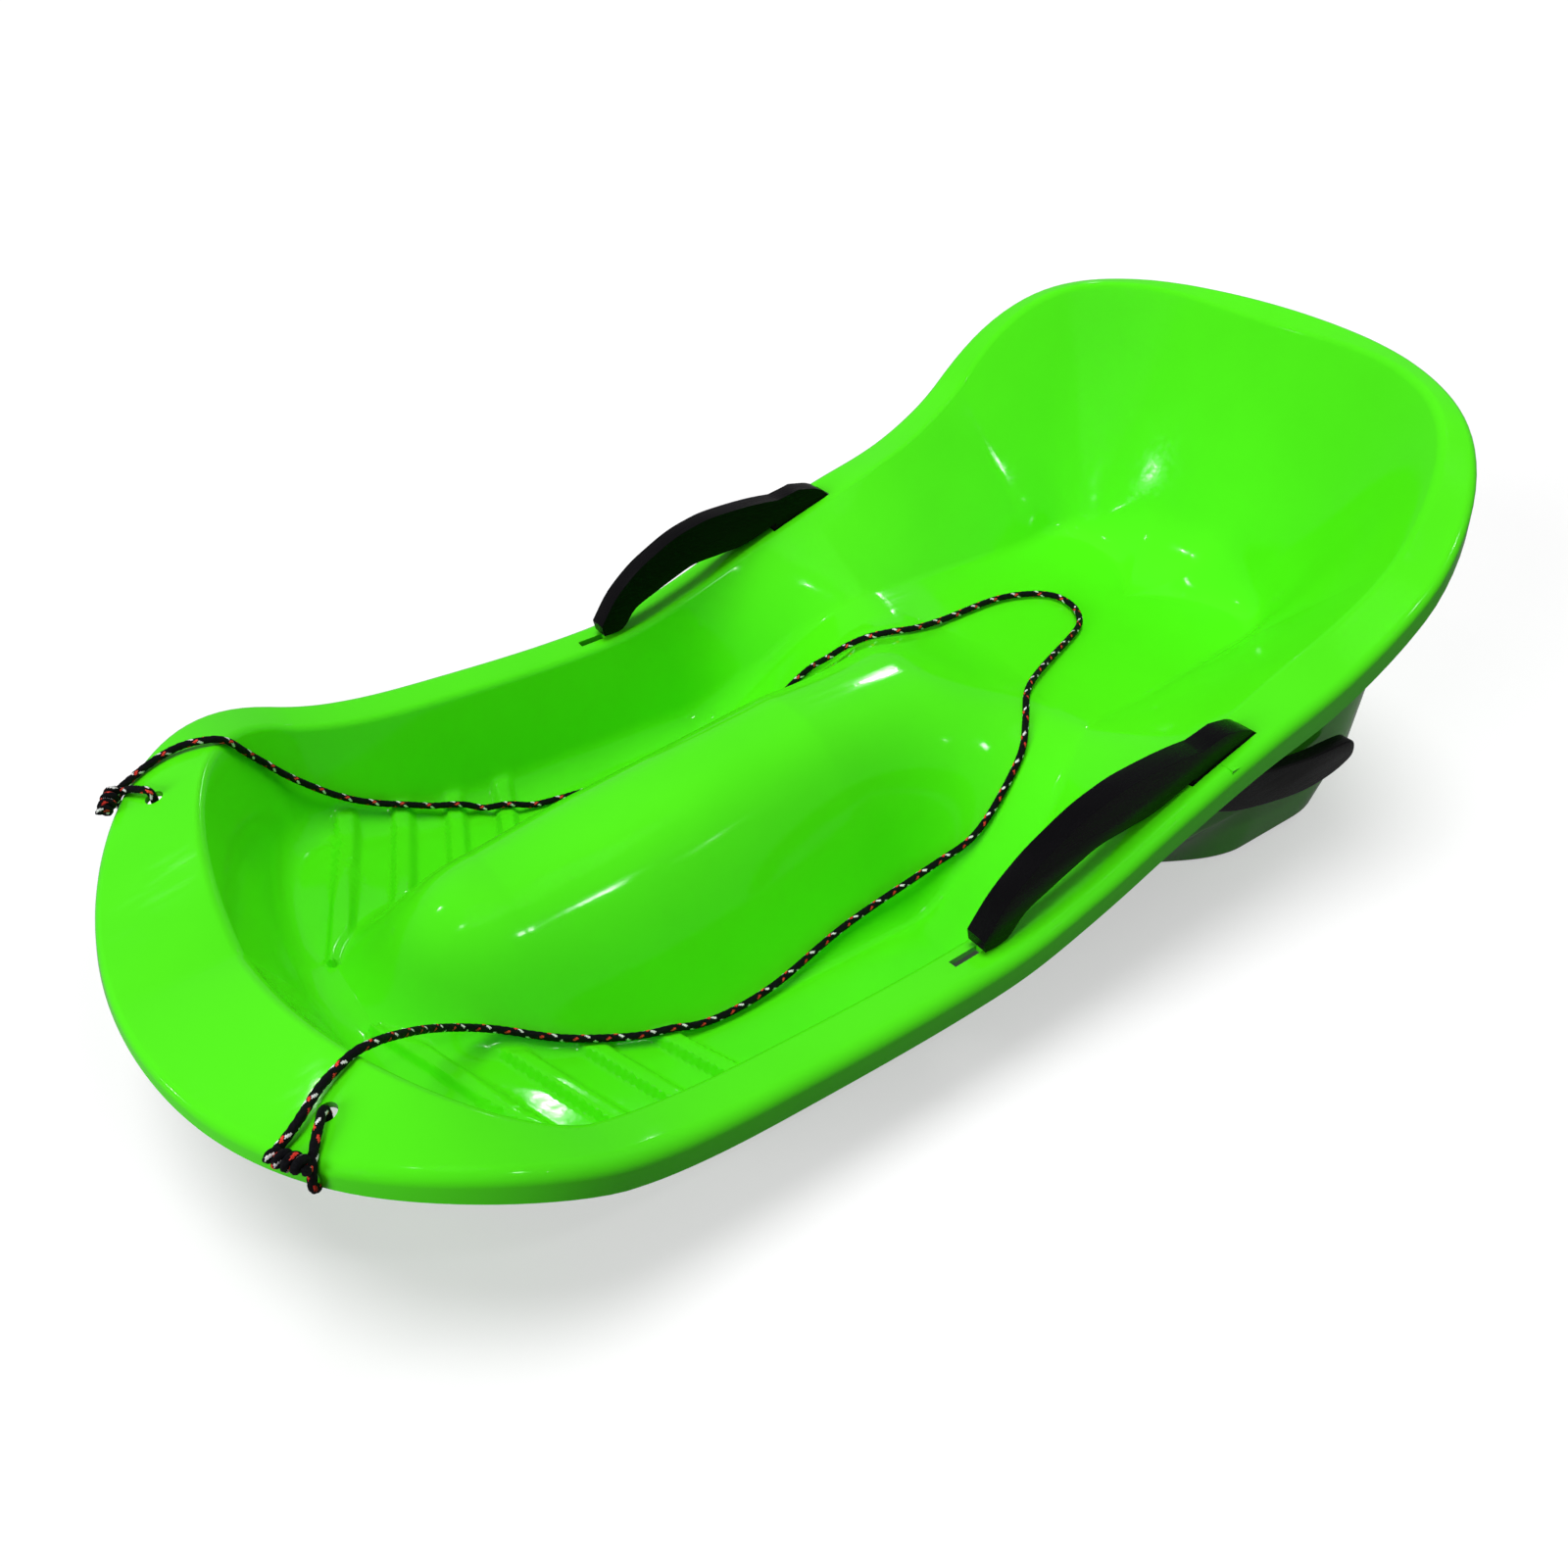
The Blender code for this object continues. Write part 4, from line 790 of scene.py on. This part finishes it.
def add_post(mesh, x, y, radius, low, high):
    """Adds an upright cylinder."""
    made = bmesh.ops.create_cone(mesh, cap_ends=True, segments=HOLE_SIDES, radius1=radius, radius2=radius,
                                 depth=high - low)["verts"]
    bmesh.ops.translate(mesh, verts=made, vec=(x, y, (low + high) / 2))


def circle(y, z, radius, sides):
    angles = [2 * math.pi * i / sides for i in range(sides)]
    return [(y + radius * math.cos(a), z + radius * math.sin(a)) for a in angles]


def loose(name, build, *parts):
    """Object whose mesh is made by calling build once for each tuple of arguments."""
    mesh = bmesh.new()
    for part in parts:
        build(mesh, *part)
    bmesh.ops.recalc_face_normals(mesh, faces=mesh.faces)
    return mesh_object(name, mesh)


def pivot():
    """Place of the levers' axis, along the sled and in height."""
    y = NOSE_TIP + PIVOT_RUN
    return y, rim_height(y) - PIVOT_DROP


def lug_face():
    """Distance from the middle to the face of a lug, beside the hub."""
    return LEVER_X + HUB_WIDTH / 2 + HUB_GAP + REST_GAP


def wall_face():
    """Distance from the middle to the outer face of the wall, beside the hub."""
    return inner_half(PIVOT_RUN) + SKIN


def hull_mesh():
    """Both sides of the hull as one closed mesh."""
    halves = [fine_section(s) for s in all_stations(NOSE_STEPS, SIDE_STEPS, TAIL_STEPS)]
    upper = [h[0] for h in halves]
    lower = [h[1] for h in halves]
    edge = [[h[0][0], h[1][0]] for h in halves]
    mesh = bmesh.new()
    for side in (1, -1):
        for flip, sections in ((True, upper), (False, lower), (False, edge)):
            rows = len(sections[0])
            verts = [[mesh.verts.new((side * x, y, z)) for x, y, z in section] for section in sections]
            for first, second in zip(verts, verts[1:]):
                for j in range(rows - 1):
                    face = (first[j], second[j], second[j + 1], first[j + 1])
                    mesh.faces.new(face[::-1] if flip != (side < 0) else face)
    bmesh.ops.remove_doubles(mesh, verts=mesh.verts, dist=MERGE)
    bmesh.ops.dissolve_degenerate(mesh, dist=SLIVER, edges=mesh.edges)
    bmesh.ops.recalc_face_normals(mesh, faces=mesh.faces)
    return mesh


def hull_cuts():
    """Slots of the levers, their pins' bores, the slots at the grips' tips and the rope holes."""
    y, z = pivot()
    tip_y = NOSE_TIP + TIP_SLOT_RUN
    tip_z = rim_height(tip_y)
    hole_x, hole_y = hole_middle()
    half_wide = HUB_WIDTH / 2 + HUB_GAP
    boxes, slots, rounds, posts = [], [], [], []
    for side in (1, -1):
        x = side * LEVER_X
        slots.append((circle(y, z, HUB_RADIUS + HUB_GAP, LEVER_SIDES), x - half_wide, x + half_wide))
        boxes.append(((x - TIP_SLOT_WIDTH / 2, tip_y - TIP_SLOT_LENGTH / 2, tip_z - TIP_SLOT_REACH),
                      (x + TIP_SLOT_WIDTH / 2, tip_y + TIP_SLOT_LENGTH / 2, tip_z + TIP_SLOT_REACH)))
        inner = sorted((side * (wall_face() - SKIN - BORE_REACH), side * (wall_face() + BORE_REACH)))
        outer = sorted((side * (lug_face() - BORE_REACH), side * (lug_face() + PIN_SEAT)))
        rounds += [(circle(y, z, PIN_RADIUS + PIN_GAP, BORE_SIDES), *ends) for ends in (inner, outer)]
        posts.append((side * hole_x, hole_y, HOLE_RADIUS, *HOLE_CUT))
    return [loose("boxes", add_box, *boxes), loose("slots", add_prism, *slots),
            loose("rounds", add_prism, *rounds), loose("posts", add_post, *posts)]


def build_hull(shade):
    """Moulded hull with its hollow, lugs, slots, bores and rope holes."""
    y, _ = pivot()
    rim = rim_height(y)
    hull = make_object("sled_hull", hull_mesh(), shade)
    combine(hull, loose("hollow", add_rings, (hollow_rings(), False)), "DIFFERENCE")
    lugs = []
    for side in (1, -1):
        low, high = sorted((side * lug_face(), side * (HALF_WIDTH - SKIN / 2)))
        lugs.append(((low, y - LUG_HALF, rim - LIP_DROP - LUG_DROP), (high, y + LUG_HALF, rim - SKIN)))
    combine(hull, loose("lugs", add_box, *lugs), "UNION")
    for tool in hull_cuts():
        combine(hull, tool, "DIFFERENCE")
    cover(hull, shade, SHARP_EDGE)
    return hull


def curve_through(points, parts, closed=False):
    """Smooth curve through points in any number of dimensions, with equal parts between them."""
    count = len(points)
    made = []
    for i in range(count if closed else count - 1):
        if closed:
            p = [points[(i + k) % count] for k in (-1, 0, 1, 2)]
        else:
            p = [points[min(count - 1, max(0, i + k))] for k in (-1, 0, 1, 2)]
        for j in range(parts):
            t = j / parts
            made.append(tuple(
                0.5 * (2 * b + (c - a) * t + (2 * a - 5 * b + 4 * c - d) * t ** 2
                       + (3 * b - a - 3 * c + d) * t ** 3)
                for a, b, c, d in zip(*p)))
    if not closed:
        made.append(tuple(points[-1]))
    return made


def soften(target, width, segments):
    """Rounds the edges of a lever's part."""
    step = target.modifiers.new("soft", "BEVEL")
    step.width = width
    step.segments = segments
    step.limit_method = "ANGLE"
    step.angle_limit = math.radians(SOFT_EDGE)
    apply_steps(target)


def grip_outline(parts, sides):
    """Outline of the grip and the hub together."""
    y, z = pivot()
    top = [(y + a, rim_height(y + a) + b) for a, b in curve_through(GRIP_TOP, parts)]
    under = [(y + a, rim_height(y + a) + b) for a, b in curve_through(GRIP_UNDER, parts)]
    crown = [(y + a, z + b) for a, b in HUB_CROWN]
    turns = [math.radians(mix(*HUB_ARC, i / sides)) for i in range(sides + 1)]
    arc = [(y + HUB_RADIUS * math.cos(t), z + HUB_RADIUS * math.sin(t)) for t in turns]
    return top + crown + arc + under[::-1]


def build_lever(name, side, shade):
    """Grip, hub and paddle in one piece, with the bore for the pin."""
    y, z = pivot()
    x = side * LEVER_X
    half = HUB_WIDTH / 2
    lever = loose(name, add_prism, (grip_outline(LEVER_PARTS, LEVER_SIDES), x - half, x + half))
    soften(lever, GRIP_SOFT, GRIP_SOFT_STEPS)
    outline = [(y + a, z + b) for a, b in curve_through(PADDLE, LEVER_PARTS)]
    paddle = loose("paddle", add_prism, (outline, x - PADDLE_THICK / 2, x + PADDLE_THICK / 2))
    soften(paddle, PADDLE_SOFT, PADDLE_SOFT_STEPS)
    combine(lever, paddle, "UNION")
    round_bore = circle(y, z, PIN_RADIUS + PIN_GAP, BORE_SIDES)
    bore = loose("bore", add_prism, (round_bore, x - HUB_WIDTH, x + HUB_WIDTH))
    combine(lever, bore, "DIFFERENCE")
    cover(lever, shade, SHARP_LEVER_EDGE)
    return lever


def crest_point(angle):
    """Point of the rim's crest in a direction round the nose, and the outward direction there."""
    radius = reach(angle, HALF_WIDTH, NOSE_RUN, 2.0)
    x, y = radius * math.cos(angle), NOSE_CENTRE + radius * math.sin(angle)
    out = Vector((x / HALF_WIDTH ** 2, (y - NOSE_CENTRE) / NOSE_RUN ** 2)).normalized()
    return Vector((x, y, rim_height(y))), out


def hole_middle():
    """Middle of the right rope hole, seen from above."""
    back = 1.0 - HOLE_RUN / NOSE_RUN
    return HALF_WIDTH * math.sqrt(1.0 - back ** 2) - HOLE_INSET, NOSE_TIP + HOLE_RUN


def hole_angle():
    """Direction from the nose's centre to a rope hole."""
    x, y = hole_middle()
    return math.atan2(y - NOSE_CENTRE, x)


def knot_middle(side, degrees):
    """Point of a knot's middle line, so many degrees from its middle, and the outward direction there."""
    place, out = crest_point(hole_angle() + math.radians(KNOT_SHIFT + degrees))
    point = Vector((side * (place.x + KNOT_OUT * out.x), place.y + KNOT_OUT * out.y, place.z + KNOT_UP))
    return point, Vector((side * out.x, out.y, 0.0))


def rope_end(side, degrees):
    """End of the rope on the inner side of a knot."""
    middle, out = knot_middle(side, degrees)
    return middle - out * KNOT_COIL


def push_off(point, tree, distance):
    """Move that brings a point to the given distance from a surface, where it is nearer."""
    near, normal, _, gap = tree.find_nearest(point)
    if (point - near).dot(normal) < 0:
        return normal * (gap + distance)
    if gap < distance:
        return (point - near).normalized() * (distance - gap)
    return Vector((0.0, 0.0, 0.0))


def laid_on(points, tree, distance, rounds):
    """Moves a line of points until it clears a surface, also between its points."""
    points = [Vector(p) for p in points]
    for _ in range(rounds):
        moves = [push_off(p, tree, distance) for p in points]
        for index, (first, second) in enumerate(zip(points, points[1:])):
            for share in LAY_CHECKS:
                push = push_off(first.lerp(second, share), tree, distance)
                for place in (index, index + 1):
                    if push.length > moves[place].length:
                        moves[place] = push
        points = [p + m for p, m in zip(points, moves)]
    return points


def evenly(points, step):
    """Points at equal distances along a line, and the line's length."""
    points = [Vector(p) for p in points]
    lengths = [0.0]
    for a, b in zip(points, points[1:]):
        lengths.append(lengths[-1] + (b - a).length)
    count = max(2, round(lengths[-1] / step))
    made, place = [], 0
    for i in range(count + 1):
        want = lengths[-1] * i / count
        while place < len(points) - 2 and lengths[place + 1] < want:
            place += 1
        span = lengths[place + 1] - lengths[place]
        made.append(points[place].lerp(points[place + 1], (want - lengths[place]) / span if span else 0.0))
    return made, lengths[-1]


def rope_line(tree):
    """Middle line of the rope, laid on the hull and smoothed."""
    clearance = ROPE / 2 + ROPE_GAP
    route = [(x, NOSE_TIP + run, z) for x, run, z in ROPE_ROUTE]
    route = [rope_end(1, ROPE_END_RIGHT)] + route + [rope_end(-1, ROPE_END_LEFT)]
    spaced, _ = evenly(curve_through(route, ROUTE_PARTS), ROPE_STEP / LAY_PARTS)
    laid = laid_on(spaced, tree, clearance, LAY_ROUNDS)
    for _ in range(SMOOTH_ROUNDS):
        laid = [laid[0]] + [(a + 2 * b + c) / 4 for a, b, c in zip(laid, laid[1:], laid[2:])] + [laid[-1]]
        laid = laid_on(laid, tree, clearance, SMOOTH_LAY_ROUNDS)
    return [Vector(p) for p in curve_through(laid, LINE_PARTS)]


def heading(points, index, closed):
    """Direction of a line at one of its points."""
    last = len(points) - 1
    before = points[index - 1] if closed else points[max(0, index - 1)]
    after = points[(index + 1) % len(points)] if closed else points[min(last, index + 1)]
    return (after - before).normalized()


def strand_at(side, wound):
    """Strand on top at one point of a ring: if it winds to the right, its number and the place across it."""
    start = BRAID_STRANDS * side / BRAID_SIDES
    right = start + wound
    left = start - wound
    over = (math.floor(right) + math.floor(left)) % 2 == 0
    strand = right if over else left
    return over, math.floor(strand) % BRAID_STRANDS, strand % 1.0


def braid_rings(points, closed, cells):
    """Rings of points round a line, with the strand that lies on top at each of them."""
    rings, marks, normal = [], [], None
    for i, point in enumerate(points):
        ahead = heading(points, i, closed)
        if normal is None:
            normal = ahead.orthogonal().normalized()
        normal = (normal - ahead * normal.dot(ahead)).normalized()
        across = ahead.cross(normal)
        mark = [strand_at(j, cells * i / len(points)) for j in range(BRAID_SIDES)]
        ring = []
        for j, (_, _, part) in enumerate(mark):
            turn = 2 * math.pi * j / BRAID_SIDES
            radius = ROPE / 2 - BRAID_DEPTH * (1 - math.sin(math.pi * part))
            ring.append(point + (normal * math.cos(turn) + across * math.sin(turn)) * radius)
        rings.append(ring)
        marks.append(mark)
    return rings, marks


def colour_strands(mesh, marks, closed):
    """Gives one strand of each direction its own colour, on the faces where it lies on top."""
    mesh.faces.ensure_lookup_table()
    count = (len(marks) if closed else len(marks) - 1) * BRAID_SIDES
    low, high = BRAID_COLOURED
    for index, face in enumerate(mesh.faces[:count]):
        over, number, part = marks[index // BRAID_SIDES][index % BRAID_SIDES]
        inside = low < part < high
        if over and number == RED_STRAND and inside:
            face.material_index = 1
        elif not over and number == WHITE_STRAND and inside:
            face.material_index = 2


def braid(name, line, shades, closed=False):
    """Braided cord along a line, its strands raised and coloured where each one lies on top."""
    points, total = evenly(list(line) + [line[0]] if closed else line, BRAID_RING)
    if closed:
        points = points[:-1]
    rings, marks = braid_rings(points, closed, max(2, 2 * round(total / BRAID_CELL / 2)))
    mesh = bmesh.new()
    add_rings(mesh, rings, closed)
    colour_strands(mesh, marks, closed)
    bmesh.ops.recalc_face_normals(mesh, faces=mesh.faces)
    made = make_object(name, mesh, shades[0], SHARP_CORD_EDGE)
    for shade in shades[1:]:
        made.data.materials.append(shade)
    return made


def knot_loop(side):
    """Middle line of the loop through a rope hole and round the lip."""
    crest, _ = crest_point(hole_angle())
    level = Vector((math.cos(hole_angle()), math.sin(hole_angle())))
    return [(side * (crest.x + a * level.x), crest.y + a * level.y, crest.z + b)
            for a, b in curve_through(ROPE_LOOP, LOOP_PARTS, True)]


def knot_coil(side):
    """Middle line of a knot's turns on the crest, narrower towards both ends."""
    steps = COIL_STEPS * KNOT_TURNS
    coil = []
    for k in range(steps + 1):
        share = 2 * k / steps - 1
        middle, out = knot_middle(side, KNOT_HALF * share * KNOT_SPREAD)
        angle = 2 * math.pi * k / COIL_STEPS
        radius = KNOT_COIL * (1 - KNOT_NARROW * share * share)
        across = out * (radius * math.cos(angle))
        coil.append(middle + across + Vector((0, 0, radius * math.sin(angle))))
    return coil


def build_knot(name, side, shades):
    """Loop through the rope hole and round the lip, with the turns of the knot on the crest."""
    ring = braid(name + "_loop", knot_loop(side), shades, closed=True)
    turns = braid(name + "_turns", knot_coil(side), shades)
    return [ring, turns]


class Shading:
    """Nodes of a material or a world."""

    def __init__(self, owner):
        owner.use_nodes = True
        self.nodes = owner.node_tree.nodes
        self.links = owner.node_tree.links

    def fill(self, node, values):
        """Gives sockets of a node their constants, or links other nodes' sockets to them."""
        for socket, value in values.items():
            if isinstance(value, bpy.types.NodeSocket):
                self.links.new(value, node.inputs[socket])
            else:
                node.inputs[socket].default_value = value
        return node

    def add(self, kind, values):
        return self.fill(self.nodes.new("ShaderNode" + kind), values)

    def place(self):
        return self.add("TexCoord", {}).outputs["Object"]

    def noise(self, vector, scale, detail=FINE_DETAIL):
        return self.add("TexNoise", {"Vector": vector, "Scale": scale, "Detail": detail}).outputs["Fac"]

    def ramp(self, value, places, colours):
        """Colour between two colours, as a value goes from the first place to the second."""
        node = self.add("ValToRGB", {"Fac": value})
        for index in (0, 1):
            node.color_ramp.elements[index].position = places[index]
            node.color_ramp.elements[index].color = (*colours[index], 1.0)
        return node.outputs["Color"]

    def spread(self, value, given, wanted):
        """Value carried over from one range to another."""
        ends = {"From Min": given[0], "From Max": given[1], "To Min": wanted[0], "To Max": wanted[1]}
        return self.add("MapRange", {"Value": value, **ends}).outputs["Result"]

    def relief(self, height, strength, depth):
        values = {"Height": height, "Strength": strength, "Distance": depth}
        return self.add("Bump", values).outputs["Normal"]

    def maths(self, operation, first, second):
        node = self.add("Math", {0: first, 1: second})
        node.operation = operation
        return node.outputs[0]

    def seen(self):
        """Socket that is 1 for what the camera sees, and a share of that for what shows in a reflection."""
        path = self.add("LightPath", {})
        mirrored = self.maths("MULTIPLY", path.outputs["Is Glossy Ray"], MIRRORED)
        return self.maths("MAXIMUM", path.outputs["Is Camera Ray"], mirrored)


def new_material(name, describe):
    """Material whose surface takes the values that describe makes with the material's nodes."""
    shade = bpy.data.materials.new(name)
    made = Shading(shade)
    made.fill(made.nodes["Principled BSDF"], describe(made))
    return shade


def plastic(name, colour, darker, roughness, grain, grain_scale, index):
    """Moulded plastic: slight clouds in its colour, uneven gloss, moulded grain and fine scratches."""
    def describe(made):
        place = made.place()
        stretched = made.add("Mapping", {"Vector": place, "Scale": SCRATCH_STRETCH}).outputs["Vector"]
        clouds = made.noise(place, CLOUD_SCALE, CLOUD_DETAIL)
        worn = (roughness, roughness + SCRATCH_ROUGH)
        return {
            "Base Color": made.ramp(clouds, CLOUD_RANGE, (darker, colour)),
            "Roughness": made.spread(made.noise(stretched, 1.0), SCRATCH_RANGE, worn),
            "Normal": made.relief(made.noise(place, grain_scale), grain, GRAIN_DEPTH),
            "IOR": index,
        }
    return new_material(name, describe)


def fibre(name, colour, lighter):
    """Braided yarn: fine threads in its colour and relief."""
    def describe(made):
        threads = made.noise(made.place(), THREAD_SCALE)
        return {
            "Base Color": made.ramp(threads, THREAD_RANGE, (colour, lighter)),
            "Normal": made.relief(threads, THREAD_STRENGTH, THREAD_DEPTH),
            "Roughness": YARN_ROUGH,
            "Specular IOR Level": YARN_GLOSS,
        }
    return new_material(name, describe)


def steel(made):
    """Zinc plated steel with a turned grain."""
    grain = made.noise(made.place(), STEEL_SCALE)
    return {
        "Base Color": made.ramp(grain, (0.0, 1.0), (STEEL_DARK, STEEL_PALE)),
        "Roughness": made.spread(grain, (0.0, 1.0), STEEL_ROUGH),
        "Metallic": 1.0,
    }


def pale_floor(made):
    """Floor that is white to the camera and throws little light back."""
    seen = made.seen()
    pale = made.nodes.new("ShaderNodeMix")
    pale.data_type = "RGBA"
    bounce = (FLOOR_BOUNCE, FLOOR_BOUNCE, FLOOR_BOUNCE, 1.0)
    made.fill(pale, {"Factor": seen, "A": bounce, "B": (FLOOR_PALE, FLOOR_PALE, FLOOR_PALE, 1.0)})
    return {
        "Base Color": pale.outputs["Result"],
        "Roughness": FLOOR_ROUGH,
        "Specular IOR Level": 0.0,
        "Emission Color": WHITE,
        "Emission Strength": made.maths("MULTIPLY", seen, FLOOR_GLOW),
    }


def build_camera():
    """Camera with the photographed view."""
    right = CAMERA_RIGHT.normalized()
    ahead = CAMERA_AHEAD.normalized()
    up = right.cross(ahead).normalized()
    data = bpy.data.cameras.new("camera")
    data.sensor_width = SENSOR
    data.lens = LENS
    camera = linked("camera", data)
    turn = Matrix((right, up, -ahead)).transposed()
    camera.matrix_world = Matrix.Translation(CAMERA_AT) @ turn.to_4x4()
    bpy.context.scene.camera = camera


def aim(light, toward):
    """Turns a light so that it shines from the given direction."""
    light.rotation_mode = "QUATERNION"
    light.rotation_quaternion = toward.to_track_quat("Z", "Y")


def lamp(name, toward, distance, size, power):
    """Area lamp in a direction from the sled, shining at it."""
    data = bpy.data.lights.new(name, "AREA")
    data.shape = "RECTANGLE"
    data.size, data.size_y = size
    data.energy = power
    made = linked(name, data)
    place = Vector(toward).normalized() * distance + LAMP_AIM
    made.location = place
    aim(made, place - LAMP_AIM)


def sun(name, toward, width, strength):
    """Soft light from far away, which shows in no reflection."""
    data = bpy.data.lights.new(name, "SUN")
    data.energy = strength
    data.angle = math.radians(width)
    made = linked(name, data)
    aim(made, Vector(toward))
    made.visible_glossy = False


def build_world():
    """White surroundings for the camera, and a dim sky for the sled."""
    world = bpy.data.worlds.new("studio")
    bpy.context.scene.world = world
    made = Shading(world)
    way = made.add("TexCoord", {}).outputs["Generated"]
    height = made.add("SeparateXYZ", {0: way}).outputs["Z"]
    sky = made.spread(height, (0.0, SKY_FULL), (HORIZON_LIGHT, WORLD_LIGHT))
    soft = made.fill(made.nodes["Background"], {"Color": WHITE, "Strength": sky})
    white = made.add("Background", {"Color": WHITE, "Strength": 1.0})
    choose = made.add("MixShader", {"Fac": made.seen(), 1: soft.outputs[0], 2: white.outputs[0]})
    made.fill(made.nodes["World Output"], {"Surface": choose.outputs[0]})


def build_floor():
    """Wide floor just under the foot of the hull."""
    mesh = bmesh.new()
    bmesh.ops.create_grid(mesh, x_segments=1, y_segments=1, size=FLOOR_SIZE)
    floor = make_object("studio_floor", mesh, new_material("studio_floor", pale_floor))
    floor.location.z = -FLOOR_DROP


def main():
    """Builds the surroundings, and then each piece on its body."""
    bpy.context.scene.view_settings.view_transform = "Standard"
    build_camera()
    build_world()
    for row in LAMPS:
        lamp(*row)
    for row in SUNS:
        sun(*row)
    build_floor()
    hull_shade = plastic(*HULL_PLASTIC)
    black_shade = plastic(*LEVER_PLASTIC)
    yarns = [fibre(*row) for row in YARNS]
    hull = build_hull(hull_shade)
    graph = bpy.context.evaluated_depsgraph_get()
    line = rope_line(BVHTree.FromObject(hull, graph))
    rope = braid("braided_rope", line, yarns)
    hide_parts("pull_rope")
    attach(rope, "sled")
    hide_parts("hull")
    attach(hull, "sled")
    knots = []
    for side, label in ((1, "right"), (-1, "left")):
        pieces = build_knot("knot_" + label, side, yarns)
        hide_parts("rope_knot_" + label)
        for piece in pieces:
            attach(piece, "sled")
        knots += pieces
        lever = build_lever("lever_" + label, side, black_shade)
        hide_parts("brake_lever_" + label)
        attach(lever, "lever_" + label)
    metal = new_material("plated_steel", steel)
    for label in ("right", "left"):
        for kind in ("pivot_pin_", "washer_", "clip_"):
            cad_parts[kind + label].data.materials[0] = metal


main()
